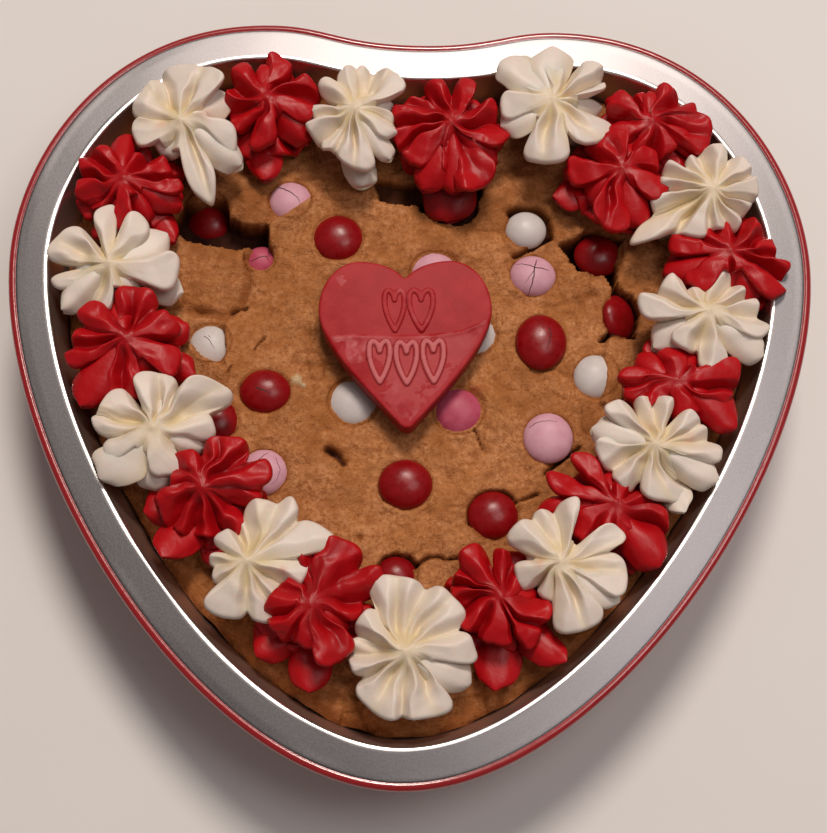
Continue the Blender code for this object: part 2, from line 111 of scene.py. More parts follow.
def ease(t):
    t = np.clip(t, 0.0, 1.0)
    return t * t * (3.0 - 2.0 * t)


def bell(t):
    """A hump that is 1 at 0 and has faded away by about 2 on both sides."""
    return np.exp(-(t**2))


def bezier(start, pull_a, pull_b, end, count):
    """Points along a cubic curve, without its last one."""
    t = np.linspace(0.0, 1.0, count, endpoint=False)[:, None]
    s = 1.0 - t
    corners = [np.array(corner, float) for corner in (start, pull_a, pull_b, end)]
    return s**3 * corners[0] + 3 * s * s * t * corners[1] + 3 * s * t * t * corners[2] + t**3 * corners[3]


def mirrored_loop(right_half, tip):
    """A closed counter-clockwise loop from its right half, which runs from the notch to the tip."""
    return np.vstack(([tip], right_half[::-1], right_half[1:] * (-1, 1)))


def inset_loop(loop, inset):
    """A counter-clockwise loop moved inwards."""
    ahead = np.roll(loop, -1, axis=0) - np.roll(loop, 1, axis=0)
    ahead /= np.linalg.norm(ahead, axis=1)[:, None]
    return loop + inset * np.column_stack((-ahead[:, 1], ahead[:, 0]))


def tin_outline():
    peak, widest, tip = LOBE_PEAK, (BEAD_HALF_WIDTH, WIDEST_Y), (0.0, TIP_Y)
    shoulder = (widest[0], widest[1] + SHOULDER_PULL)
    half = np.vstack((
        bezier((0.0, NOTCH_Y), (NOTCH_PULL, NOTCH_Y), (peak[0] - LOBE_INNER_PULL, peak[1]), peak, 24),
        bezier(peak, (peak[0] + LOBE_OUTER_PULL, peak[1]), shoulder, widest, 48),
        bezier(widest, (widest[0], widest[1] - FLANK_PULL), (TIP_PULL, TIP_Y), tip, 64),
    ))
    return mirrored_loop(half, tip)


TIN_LOOP = tin_outline()


def wall_inset(z):
    """How far in from the bead the wall's inner face stands at a height."""
    return FLANGE_INSET + (RIM_HEIGHT - z) * WALL_LEAN


def heading(degrees):
    """Unit direction in the plane."""
    return np.array((math.cos(math.radians(degrees)), math.sin(math.radians(degrees))))


def at_height(loop, z):
    """A loop of plane points lifted to a height, or to one height for each point."""
    return np.column_stack((loop, np.broadcast_to(z, len(loop))))


def on_stretch(x, y, start, end):
    """The spots on a straight stretch that are nearest to points."""
    (ax, ay), (bx, by) = start, end
    dx, dy = bx - ax, by - ay
    t = np.clip(((x - ax) * dx + (y - ay) * dy) / (dx * dx + dy * dy), 0.0, 1.0)
    return ax + t * dx, ay + t * dy


def path_distance(x, y, path, closed=True):
    """Distance from points to the nearest stretch of a path."""
    best = np.full(np.shape(x), np.inf)
    path = np.asarray(path, float)
    for start, end in zip(path, np.roll(path, -1, axis=0) if closed else path[1:]):
        spot_x, spot_y = on_stretch(x, y, start, end)
        best = np.minimum(best, np.hypot(spot_x - x, spot_y - y))
    return best


def snapped(x, y, loop):
    """Points moved to the nearest spots on a closed outline."""
    best = np.full(x.shape, np.inf)
    moved = np.column_stack((x, y))
    for start, end in zip(loop, np.roll(loop, -1, axis=0)):
        spots = np.column_stack(on_stretch(x, y, start, end))
        away = np.hypot(spots[:, 0] - x, spots[:, 1] - y)
        closer = away < best
        best[closer] = away[closer]
        moved[closer] = spots[closer]
    return moved[:, 0], moved[:, 1]


def inside(x, y, loop):
    """Whether points lie in a closed outline."""
    hit = np.zeros(np.shape(x), bool)
    loop = np.asarray(loop, float)
    for (ax, ay), (bx, by) in zip(loop, np.roll(loop, -1, axis=0)):
        if ay != by:
            hit ^= ((ay > y) != (by > y)) & (x < (bx - ax) * (y - ay) / (by - ay) + ax)
    return hit


def signed_distance(x, y, loop):
    """Distance to an outline, positive inside it."""
    distance = path_distance(x, y, loop)
    return np.where(inside(x, y, loop), distance, -distance)


def grid_faces(rows, columns, start=0, flip=False):
    """Quads over closed rows of points."""
    faces = []
    for row in range(rows - 1):
        low = start + row * columns
        high = low + columns
        for column in range(columns):
            after = (column + 1) % columns
            quad = (low + column, low + after, high + after, high + column)
            faces.append(quad[::-1] if flip else quad)
    return faces


def cap(start, count, flip=False):
    """One face over a ring of points."""
    ring = tuple(range(start, start + count))
    return ring[::-1] if flip else ring


def cell_quads(cell, start=0):
    """The grid points that marked cells use, and quads over those cells, numbered from start."""
    rows, columns = cell.shape
    index = np.arange((rows + 1) * (columns + 1)).reshape(rows + 1, columns + 1)
    row, column = np.nonzero(cell)
    quads = np.column_stack((index[row, column], index[row, column + 1],
                             index[row + 1, column + 1], index[row + 1, column]))
    used, corners = np.unique(quads, return_inverse=True)
    return used, (corners.reshape(quads.shape) + start).tolist()


def make_piece(name, points, faces, materials, slots=None, values=None):
    """A mesh object from points in millimetres; values are named numbers that each point carries."""
    mesh = bpy.data.meshes.new(name)
    mesh.from_pydata((np.asarray(points, float) * MM).tolist(), [], faces)
    for material in materials:
        mesh.materials.append(material)
    if slots is not None:
        mesh.polygons.foreach_set("material_index", np.asarray(slots, np.int32))
    for key, numbers in (values or {}).items():
        layer = mesh.attributes.new(key, "FLOAT", "POINT")
        layer.data.foreach_set("value", np.asarray(numbers, np.float32))
    mesh.shade_smooth()
    mesh.validate()
    mesh.update()
    piece = bpy.data.objects.new(name, mesh)
    bpy.context.scene.collection.objects.link(piece)
    return piece


def stand_for(piece, node):
    """Attaches a piece to the body, and hides the CAD node that it is shown for."""
    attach(piece, "root")
    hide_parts(node)


# Materials

class Look:
    """A material that is being put together from nodes."""

    def __init__(self, name, roughness, metallic=0.0):
        self.material = bpy.data.materials.new(name)
        self.material.use_nodes = True
        self.nodes = self.material.node_tree.nodes
        self.links = self.material.node_tree.links
        self.shader = self.nodes["Principled BSDF"]
        self.set(Roughness=roughness, Metallic=metallic)
        self.place = self.nodes.new("ShaderNodeTexCoord").outputs["Object"]

    def set(self, **values):
        for key, value in values.items():
            self.shader.inputs[key.replace("_", " ")].default_value = value

    def noise(self, size, detail=2.0, rough=0.5):
        """Noise from 0 to 1 with features about size millimetres across."""
        node = self.nodes.new("ShaderNodeTexNoise")
        node.inputs["Scale"].default_value = 1.0 / (size * MM)
        node.inputs["Detail"].default_value = detail
        node.inputs["Roughness"].default_value = rough
        self.links.new(self.place, node.inputs["Vector"])
        return node.outputs["Fac"]

    def value(self, key):
        """A number that the mesh's points carry."""
        node = self.nodes.new("ShaderNodeAttribute")
        node.attribute_name = key
        return node.outputs["Fac"]

    def remap(self, source, low, high, to_low=0.0, to_high=1.0):
        """Stretches a range of the source to another one, held at its ends."""
        node = self.nodes.new("ShaderNodeMapRange")
        self.links.new(source, node.inputs["Value"])
        for key, number in (("From Min", low), ("From Max", high), ("To Min", to_low), ("To Max", to_high)):
            node.inputs[key].default_value = number
        return node.outputs["Result"]

    def mix(self, share, a, b):
        """Colour a where share is 0, colour b where it is 1."""
        node = self.nodes.new("ShaderNodeMix")
        node.data_type = "RGBA"
        self.links.new(share, node.inputs["Factor"])
        self.join(a, node.inputs["A"])
        self.join(b, node.inputs["B"])
        return node.outputs["Result"]

    def blend(self, source, low, high, a, b, most=1.0):
        """Colour a that turns to colour b, or most of the way to it, over a range of the source."""
        return self.mix(self.remap(source, low, high, 0.0, most), a, b)

    def join(self, colour, socket):
        if isinstance(colour, tuple):
            socket.default_value = (*colour, 1.0)
        else:
            self.links.new(colour, socket)

    def paint(self, colour):
        self.join(colour, self.shader.inputs["Base Color"])

    def gloss(self, source):
        self.links.new(source, self.shader.inputs["Roughness"])

    def bump(self, height, depth):
        """Fine relief, depth millimetres deep, over any that is there already."""
        node = self.nodes.new("ShaderNodeBump")
        node.inputs["Strength"].default_value = 1.0
        node.inputs["Distance"].default_value = depth * MM
        self.links.new(height, node.inputs["Height"])
        before = self.shader.inputs["Normal"].links
        if before:
            self.links.new(before[0].from_socket, node.inputs["Normal"])
        self.links.new(node.outputs["Normal"], self.shader.inputs["Normal"])


def tin_materials():
    """The tin's four finishes, in the order of its slots."""
    enamel = Look("red_enamel", 0.24)
    enamel.paint(enamel.mix(enamel.noise(9.0), (0.275, 0.003, 0.006), (0.34, 0.006, 0.010)))
    enamel.set(Coat_Weight=0.8, Coat_Roughness=0.07)
    enamel.bump(enamel.noise(2.5), 0.04)

    satin = Look("satin_tin", 0.36, 1.0)
    speckle = satin.noise(0.5, 3.0, 0.7)
    tone = satin.blend(speckle, 0.35, 0.7, (0.170, 0.162, 0.166), (0.211, 0.203, 0.208))
    satin.paint(satin.blend(satin.noise(14.0, 3.0), 0.3, 0.8, tone, (0.18, 0.17, 0.175), 0.2))
    satin.gloss(satin.remap(speckle, 0.3, 0.7, 0.36, 0.41))
    satin.bump(speckle, 0.012)

    lip = Look("polished_lip", 0.30, 1.0)
    lip.paint(lip.mix(lip.noise(3.0), (0.93, 0.91, 0.89), (0.98, 0.96, 0.94)))

    # The inner wall's metal is tinted warm brown: a painted reflection of the crumb that faces it.
    wall = Look("drawn_wall", 0.5, 1.0)
    wall.paint(wall.mix(wall.noise(6.0, 3.0), (0.52, 0.37, 0.31), (0.62, 0.46, 0.40)))
    return [enamel.material, satin.material, lip.material, wall.material]


# Mottles laid over the crumb: size, detail, roughness, the range they fade in over, how strong, and colour.
MOTTLES = (
    (11.0, 4.0, 0.6, 0.40, 0.66, 0.60, (0.46, 0.165, 0.038)),
    (4.0, 4.0, 0.7, 0.50, 0.66, 0.50, (0.27, 0.080, 0.016)),
    (1.9, 3.0, 0.6, 0.54, 0.70, 0.45, (0.25, 0.074, 0.016)),
    (2.8, 3.0, 0.6, 0.56, 0.72, 0.45, (0.76, 0.37, 0.17)),
    (0.8, 2.0, 0.6, 0.62, 0.74, 0.40, (0.20, 0.058, 0.014)),
)


def crumb_material():
    crumb = Look("baked_crumb", 0.58)
    grain = crumb.noise(1.0, 4.0, 0.7)
    tone = crumb.blend(grain, 0.34, 0.66, (0.35, 0.114, 0.030), (0.73, 0.337, 0.144))
    for size, detail, rough, low, high, strength, colour in MOTTLES:
        tone = crumb.blend(crumb.noise(size, detail, rough), low, high, tone, colour, strength)
    # Darker where the crumb is baked darker, and where painted shade lies in gaps, cracks, creases, holes and
    # thin lines round the candies; nearly black in the deep gaps.
    tone = crumb.blend(crumb.value("bake_and_shade"), 0.0, 0.5, tone, (0.27, 0.083, 0.018))
    tone = crumb.blend(crumb.value("bake_and_shade"), 0.4, 1.0, tone, (0.040, 0.010, 0.005))
    tone = crumb.mix(crumb.value("pale"), tone, (0.66, 0.50, 0.30))
    crumb.paint(crumb.mix(crumb.value("stain"), tone, (0.28, 0.015, 0.012)))
    crumb.bump(grain, 0.5)
    crumb.bump(crumb.noise(0.45, 3.0, 0.7), 0.26)
    crumb.set(Specular_IOR_Level=0.12)
    return crumb.material


ICING_STAIN = (0.62, 0.20, 0.09)


def icing_material(name, body, crease_shade, tint, roughness, relief, shine):
    icing = Look(name, roughness)
    tone = icing.blend(icing.noise(5.0), 0.3, 0.7, body, tint, 0.5)
    # Painted shade: the icing turns to its shade colour in creases, under petals and down the stem.
    tone = icing.mix(icing.value("crease_shade"), tone, crease_shade)
    icing.paint(icing.mix(icing.value("stain"), tone, ICING_STAIN))
    icing.bump(icing.noise(2.2, 3.0, 0.55), relief)
    icing.set(Subsurface_Weight=0.15, Subsurface_Scale=0.002, Specular_IOR_Level=shine)
    return icing.material


def shell_material(name, body, shade, roughness):
    shell = Look(name, roughness)
    shell.paint(shell.blend(shell.noise(2.6, 3.0), 0.3, 0.7, body, shade))
    shell.gloss(shell.remap(shell.noise(1.3), 0.3, 0.7, roughness, roughness + 0.12))
    shell.bump(shell.noise(1.8), 0.03)
    shell.set(Specular_IOR_Level=0.30)
    return shell.material


def cast_material():
    cast = Look("cast_candy", 0.40)
    bloom = cast.noise(6.5, 4.0, 0.6)
    tone = cast.blend(bloom, 0.35, 0.66, (0.34, 0.006, 0.010), (0.44, 0.034, 0.040))
    tone = cast.mix(cast.value("bloom"), tone, (0.54, 0.13, 0.135))
    # Darker where painted shade lies on the heart's rim, at the feet of its raised strokes and down its side,
    # and on its glossy spots.
    cast.paint(cast.mix(cast.value("contour_and_shade"), tone, (0.22, 0.004, 0.008)))
    cast.gloss(cast.remap(bloom, 0.3, 0.7, 0.40, 0.55))
    cast.set(Specular_IOR_Level=0.14)
    cast.bump(cast.noise(0.5, 3.0, 0.7), 0.05)
    return cast.material


# The tin

# The flange: inset and drop where it leaves the bead, then its insets; it falls a little towards the bead.
FLANGE_START = ((0.44, 0.21), (0.60, 0.155))
FLANGE_INSETS = (0.9, 1.5, 2.2, 3.2, 4.3, 5.2, 6.1, 7.0, 7.6)
FLANGE_SLOPE = 0.02
FLANGE_CREST = 7.4
FLANGE_WAVE = 0.05
FLANGE_EDGE = 6.6
LIP_RADIUS = 0.84
LIP_SHIFT = 0.78

# Heights of the wall outside, of its bend under the flange, and of the wall inside.
OUTER_HEIGHTS = (10.0, 18.0, 26.0, 32.0)
SHOULDER_HEIGHTS = (34.3, 35.1)
INNER_HEIGHTS = (34.0, 30.0, 24.0, 18.0, 12.0)


def arc(inset, z, radius, start, stop, steps):
    """Points round a centre in the section, by angle in degrees; 0 points inwards."""
    angles = np.radians(np.linspace(start, stop, steps))
    return [(inset + radius * math.cos(angle), z + radius * math.sin(angle)) for angle in angles]


def fillet(start, corner, end, steps):
    """Points along a soft corner."""
    points = []
    for t in np.linspace(0.0, 1.0, steps):
        s = 1.0 - t
        points.append(tuple(s * s * a + 2 * s * t * b + t * t * c for a, b, c in zip(start, corner, end)))
    return points


def tin_section():
    """The sheet's section in four stretches: enamel outside, satin flange, polished lip and inner wall."""
    outer = SHEET / math.cos(math.atan(WALL_LEAN))
    foot = wall_inset(0.0)
    enamel = fillet((foot + CORNER_RADIUS, 0.0), (foot - outer, 0.0),
                    (wall_inset(CORNER_RADIUS) - outer, CORNER_RADIUS), 7)
    enamel += [(wall_inset(z) - outer, z) for z in OUTER_HEIGHTS]
    low, high = SHOULDER_HEIGHTS
    enamel += fillet((FLANGE_INSET - outer, low), (FLANGE_INSET - outer - 0.1, high),
                     (FLANGE_EDGE, RIM_HEIGHT - SHEET), 4)
    enamel += arc(BEAD_SHIFT, RIM_HEIGHT - BEAD_RADIUS, BEAD_RADIUS, 8, -306, 28)
    satin = [(inset, RIM_HEIGHT - drop) for inset, drop in FLANGE_START]
    satin += [(inset, RIM_HEIGHT - FLANGE_SLOPE * (FLANGE_CREST - inset)) for inset in FLANGE_INSETS]
    lip = arc(FLANGE_INSET - LIP_SHIFT, RIM_HEIGHT - LIP_RADIUS, LIP_RADIUS, 95, 10, 9)
    corner = SHEET + CORNER_RADIUS
    inner = [(wall_inset(z), z) for z in INNER_HEIGHTS]
    inner += fillet((wall_inset(corner), corner), (wall_inset(SHEET), SHEET),
                    (wall_inset(SHEET) + CORNER_RADIUS, SHEET), 6)
    return enamel, satin, lip, inner


def make_tin():
    """Floor, leaning wall, flat flange and rolled bead; the enamel runs from the floor over the bead."""
    rings, kinds = [], []
    for kind, stretch in enumerate(tin_section()):
        for inset, z in stretch:
            ring = inset_loop(TIN_LOOP, inset)
            wavy = kind == 1 and inset > 2.0
            wave = FLANGE_WAVE * fractal(ring[:, 0], ring[:, 1], 24.0, 2, 3.0) if wavy else 0.0
            rings.append(at_height(ring, z + wave))
            kinds.append(kind)
    count = len(TIN_LOOP)
    faces = grid_faces(len(rings), count)
    slots = [kind for kind in kinds[1:] for _ in range(count)]
    faces += [cap(0, count, flip=True), cap((len(rings) - 1) * count, count)]
    slots += [kinds[0], kinds[-1]]
    piece = make_piece("tin_sheet", np.vstack(rings), faces, tin_materials(), slots)
    stand_for(piece, "heart_tin")


# The cookie

GRID = 0.52
EDGE_INSET = 11.35
EDGE_DROP = 2.4
EDGE_ROUND = 1.5

# Chunks that stand proud of the surface: x, y, radius, rise.
CHUNKS = (
    (-43, 51, 8, 1.4),
    (22, 54, 9, 1.8),
    (-15, 54, 8, 1.0),
    (-54, 30, 9, 0.9),
    (56, 36, 5, 0.8),
    (55, 12.5, 5, 1.0),
    (39, 49, 5, 0.7),
    (0, 10, 16, 0.9),
    (6, -34, 12, 0.6),
    (-46, 26, 5, 0.7),
    (-50, 36, 4, 0.6),
)

# Deep gaps between chunks, painted nearly black inside as shade: outline, then depth.
CREVICE = (
    (-63.0, 46.0), (-59.5, 50.5), (-54.2, 52.6), (-49.2, 52.6), (-47.6, 50.1), (-47.4, 47.0), (-44.7, 45.5),
    (-37.4, 45.2), (-36.4, 40.9), (-37.1, 37.6), (-39.7, 38.9), (-45.6, 38.2), (-50.8, 38.6), (-57.4, 40.0),
    (-61.0, 42.0),
)
BROKEN_EDGE = (
    (36.5, 42.5), (38.5, 41), (43, 34.5), (50, 33.3), (52.4, 30), (50.6, 19), (48.8, 15.6),
    (58, 16.5), (60, 24), (57.5, 29), (54, 30.5), (53, 38), (56, 44), (48, 46), (41, 44),
)
LUMP_SHADOW = (
    (-11, 59), (-9.4, 53.0), (-4.1, 51.0), (0.9, 51.5), (2.9, 49.0), (6.7, 46.9), (11.3, 46.4), (15.6, 47.2),
    (17.6, 50.1), (19, 59),
)
GAPS = ((CREVICE, 8.0), (BROKEN_EDGE, 8.5), (LUMP_SHADOW, 3.8))
GAP_WALL = 1.1

# Broad darker and, below zero, paler patches: x, y, radius, how dark.
TONE_PATCHES = (
    (-52, 31, 11, 0.17),
    (22, 55, 9, 0.14),
    (60, 20, 8, 0.16),
    (-16, 54, 8, 0.10),
    (-43, 50, 7, 0.22),
    (10, 42, 8, 0.10),
    (26, 17, 9, -0.09),
    (41, 20, 9, -0.10),
    (-3, -31, 12, -0.07),
    (-31, 5, 7, -0.07),
)

# Cracks, painted dark inside as shade: path, width, depth, and how dark that painted shade is.
CRACKS = (
    (((35.2, -13.5), (38.5, -16.5), (42, -14)), 0.30, 1.4, 0.9),
    (((3.4, -43.5), (5.0, -42.0), (6.4, -41.2), (8.2, -41.1), (10.1, -41.7), (12.6, -41.4), (14.8, -41.7)),
     0.42, 2.0, 0.9),
    (((27.1, -27.1), (28.5, -26.6), (31.0, -25.7), (32.8, -24.9)), 0.40, 1.8, 0.9),
    (((34.8, -19.5), (36.3, -18.2), (38.5, -16.1), (41.3, -14.0), (43.5, -12.6)), 0.38, 2.0, 0.9),
    (((-19.9, -14.5), (-17.8, -15.7), (-15.5, -18.0)), 0.75, 2.2, 0.9),
    (((16.4, -32.4), (16.5, -28.9), (18.3, -26.3), (20.8, -25.0), (24.1, -24.9), (26.8, -26.1)),
     0.65, 3.0, 0.9),
    (((-5.8, -44.5), (-4.6, -42.1), (-1.9, -40.9), (1.0, -41.6), (3.0, -43.5)), 0.60, 2.6, 0.9),
    (((26.0, 50.2), (28.2, 51.0), (31.2, 51.2), (33.6, 50.4), (35.2, 48.6), (35.6, 46.2), (35.6, 43.8)),
     1.0, 4.4, 0.9),
    (((36.0, 43.8), (34.7, 42.6), (31.9, 40.6), (29.0, 39.4), (26.9, 38.3)), 0.50, 2.8, 0.9),
    (((16.9, -8.6), (17.6, -9.9), (18.0, -11.4), (18.8, -13.6)), 0.28, 1.4, 0.9),
    (((-45.7, 21.0), (-44.2, 21.7), (-42.7, 21.5), (-41.7, 22.2)), 0.32, 1.6, 0.9),
    (((-42.4, 35.8), (-41.9, 29.0), (-43.5, 22.2), (-47.2, 19.9), (-56.2, 20.8)), 1.1, 1.5, 0.32),
    (((-39.4, 10.7), (-38.4, 12.6), (-37.0, 14.3)), 0.24, 1.0, 0.9),
    (((-45.6, 4.2), (-44.5, 6.4)), 0.24, 1.0, 0.9),
    (((-37.5, 45), (-37.0, 41), (-36.4, 37), (-38, 33.4)), 0.4, 2.0, 0.9),
)

# Dough that lies over a candy: its rim on the shell, then the far side where it has sunk away.
COVERS = (
    (((49.3, 12.4), (49.7, 9.8), (49.8, 5.8), (49.5, 2.4), (48.4, -1.3)),
     ((55.0, -5.0), (61.0, 0.0), (62.0, 8.0), (59.0, 15.0), (52.0, 18.0))),
    (((-26.1, 53.0), (-29.2, 50.4), (-32.2, 48.4), (-35.2, 46.5), (-37.2, 44.6)),
     ((-37.0, 39.5), (-29.0, 37.5), (-21.0, 42.0), (-20.0, 52.0))),
    (((-55.5, 11.8), (-53.8, 9.8), (-50.7, 7.9), (-47.1, 6.5)),
     ((-42.0, 2.5), (-48.0, -2.0), (-58.0, 0.0), (-62.0, 9.0))),
    (((-47.4, 16.9), (-46.6, 11.5), (-46.8, 6.8)),
     ((-44.0, 0.0), (-38.0, 5.0), (-38.0, 16.0), (-43.0, 22.0))),
)
COVER_RISE = 2.6
COVER_SPREAD = 4.6

# Pale bits that stick to the top: x, y, radius, rise.
PALE_BITS = ((-28.0, 3.0, 1.5, 0.7), (-26.4, 1.8, 0.8, 0.5), (-18.4, -36.4, 0.9, 0.6))

# Small holes: x, y, radius, depth.
HOLES = ((-18.9, -15, 0.9, 1.2), (-11, -37, 0.8, 1.5))

# A spot where red colour has run into the crumb: x, y, radius.
RUN_SPOT = (16.5, 1.5, 2.2)

# The cookie's side and underside, downwards: how far in from the wall's inner face, and height.
SIDE = ((0.5, 21.0), (0.5, 16.0), (0.5, 11.0), (0.5, 6.0), (1.4, 2.4), (4.6, 1.2))

# How a baked-in shell differs from its solid: shift in x, y and z, narrower and shorter by.
CANDY_FIT = {
    "candy_pink_01": (-0.2, 0.9, 0.0, 1.6, 1.0),
    "candy_pink_02": (0.6, 0.8, 0.0, 2.6, 1.6),
    "candy_pink_03": (0.6, 1.5, 0.0, 0.0, 0.0),
    "candy_pink_04": (-0.9, 0.8, 0.0, 0.6, 0.8),
    "candy_white_01": (-0.6, 0.4, 0.0, 1.8, 1.0),
    "candy_red_03": (0.6, 1.5, 0.6, 0.0, 0.0),
    "candy_red_04": (-0.2, 0.8, 0.0, 0.0, 0.0),
    "candy_red_08": (-0.6, 0.2, -0.6, 2.0, 1.4),
    "candy_red_09": (-2.6, 2.5, -4.6, 0.6, 0.6),
    "candy_white_03": (-0.9, 0.0, -0.4, 0.0, 0.0),
    "candy_white_05": (1.3, 2.1, -0.4, 0.8, 0.8),
}


def candy_nodes():
    return sorted(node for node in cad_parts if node.startswith("candy_") and node != "candy_heart")


def node_middle(node):
    """Middle and size of a CAD node, in millimetres."""
    low, high = (np.array(corner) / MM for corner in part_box(node))
    *shift, narrower, shorter = CANDY_FIT.get(node, (0.0, 0.0, 0.0, 0.0, 0.0))
    return (low + high) / 2 + shift, high - low - (narrower, shorter, 0.0)


def bit_cover(x, y, cx, cy, radius):
    """Share of a small ragged bit that covers each point."""
    away = np.hypot(x - cx, y - cy) / radius + 0.35 * fractal(x, y, 0.9, 2, 19.0)
    return ease((1.1 - away) / 0.5)


def rolling_top(x, y):
    """Height and tone of the lumpy top, before anything is set into it; its creases are painted darker, as
    shade.
    """
    height = COOKIE_TOP + 0.55 * fractal(x, y, 13.0, 2, 1.0)
    lumps = fractal(x, y, 5.2, 3, 2.0)
    height += 0.56 * np.abs(lumps) ** 0.8 * np.sign(lumps) + 0.26 * fractal(x, y, 1.9, 2, 4.0)
    creases = bell(fractal(x + 0.8 * lumps, y, 7.5, 2, 15.0) / 0.07)
    creases *= ease(fractal(x, y, 16.0, 2, 16.0) * 1.6 + 0.25)
    height -= 0.48 * creases
    # The creases carry painted shade.
    bake_and_shade = 0.06 + 0.10 * fractal(x, y, 12.0, 3, 5.0) + 0.26 * creases - 0.07 * lumps
    for cx, cy, radius, rise in CHUNKS:
        reach = np.hypot(x - cx, y - cy) + 0.8 * fractal(x, y, 4.0, 2, 6.0)
        height += rise * ease(1.0 - reach / radius)
    for cx, cy, radius, dark in TONE_PATCHES:
        bake_and_shade += dark * ease(1.4 - np.hypot(x - cx, y - cy) / radius + 0.3 * fractal(x, y, 5.0, 2, 18.0))
    return height, bake_and_shade


def with_gaps(x, y, height, bake_and_shade, ragged):
    """Adds the deep gaps and the holes, both painted dark as shade, the bits that stick on, and the pores."""
    for outline, depth in GAPS:
        within = signed_distance(x, y, outline) + ragged
        sunk = ease(within / GAP_WALL)
        height -= depth * sunk + 0.4 * np.exp(-np.maximum(-within, 0.0) / 0.8) * (within <= 0)
        # Painted shade: the gap's walls and floor are darkened nearly to black.
        bake_and_shade += 0.95 * sunk
    for cx, cy, radius, rise in PALE_BITS:
        height += rise * bit_cover(x, y, cx, cy, radius)
    for cx, cy, radius, depth in HOLES:
        groove = np.exp(-(((x - cx) ** 2 + (y - cy) ** 2) / radius**2))
        height -= depth * groove
        # Painted shade in the hole.
        bake_and_shade += 0.5 * groove
    height -= 0.35 * ease((fractal(x, y, 1.3, 2, 11.0) - 0.62) / 0.35)
    return height, bake_and_shade


def with_candies(x, y, height, bake_and_shade):
    """Levels the crumb round each candy, with a soft lip, a thin dark line of painted shade at the shell's
    edge and a hollow under the shell.
    """
    for node in candy_nodes():
        (cx, cy, _), (width, length, _) = node_middle(node)
        away = np.hypot((x - cx) / (0.5 * width), (y - cy) / (0.5 * length))
        lip = bell((away - 1.10) / 0.16)
        shell_edge_shade = bell((away - 0.99) / 0.05)
        level = ease((1.16 - away) / 0.16)
        height = height * (1 - level) + np.minimum(height, COOKIE_TOP + 0.1) * level
        height += 0.40 * lip * (0.5 + 0.9 * value_noise(x / 3.1 + 40, y / 3.1)) - 0.3 * level
        height -= 3.0 * ease((0.90 - away) / 0.3)
        # Painted shade: a thin dark line where the crumb meets the shell.
        bake_and_shade += 0.45 * shell_edge_shade
    return height, bake_and_shade


def with_cracks(x, y, height, bake_and_shade, ragged):
    """Adds the cracks, with painted shade in them, and the dough that lies over some candies."""
    for path, width, depth, dark in CRACKS:
        away = path_distance(x + 0.4 * ragged, y + 0.4 * ragged, path, closed=False)
        groove = bell(away / width)
        height -= depth * groove
        # Painted shade in the crack.
        bake_and_shade += dark * groove
    for rim, outer in COVERS:
        within = signed_distance(x, y, rim + outer) + 0.4 * ragged
        away = path_distance(x, y, rim, closed=False)
        swell = COVER_RISE * ease((within + 0.3) / 0.9) * bell(away / COVER_SPREAD)
        height = np.where(within > -0.3, np.maximum(height, COOKIE_TOP + swell), height)
    return height, bake_and_shade


def crumb_surface(x, y, edge):
    """Height of the cookie's top, and its baked tone with painted shade in gaps, cracks, creases, holes and
    round the candies; edge is the distance from its rim.
    """
    ragged = 0.65 * fractal(x, y, 2.6, 3, 8.0)
    height, bake_and_shade = rolling_top(x, y)
    height, bake_and_shade = with_gaps(x, y, height, bake_and_shade, ragged)
    height, bake_and_shade = with_candies(x, y, height, bake_and_shade)
    height, bake_and_shade = with_cracks(x, y, height, bake_and_shade, ragged)
    crust = bell(edge / 9.0)
    height += 0.9 * crust * fractal(x, y, 5.0, 3, 12.0)
    height -= EDGE_DROP * np.exp(-edge / EDGE_ROUND)
    bake_and_shade += 0.20 * ease(1.0 - edge / 12.0)
    return height, np.clip(bake_and_shade, 0.0, 1.0)


def stain_tone(x, y):
    """How strongly the red run shows in the crumb."""
    cx, cy, radius = RUN_SPOT
    tone = 0.75 * np.exp(-(((x - cx) ** 2 + (y - cy) ** 2) / radius**2))
    return np.clip(tone * (0.7 + 0.5 * fractal(x, y, 1.6, 2, 14.0)), 0.0, 1.0)


def cookie_side():
    """Rings of the cookie's side, which follows the tin's wall down to the underside."""
    side = [(EDGE_INSET + 0.25, COOKIE_TOP - EDGE_DROP - 0.2), (EDGE_INSET + 0.2, 23.6)]
    side += [(wall_inset(z) + gap, z) for gap, z in SIDE]
    rings = []
    for inset, z in side:
        ring = inset_loop(TIN_LOOP, inset)
        if z > 5:
            uneven = 0.35 * fractal(ring[:, 0], ring[:, 1] + z, 5.0, 2, 13.0)[:, None]
            ring = inset_loop(ring, np.maximum(uneven, -0.1))
        rings.append(at_height(ring, z))
    return rings


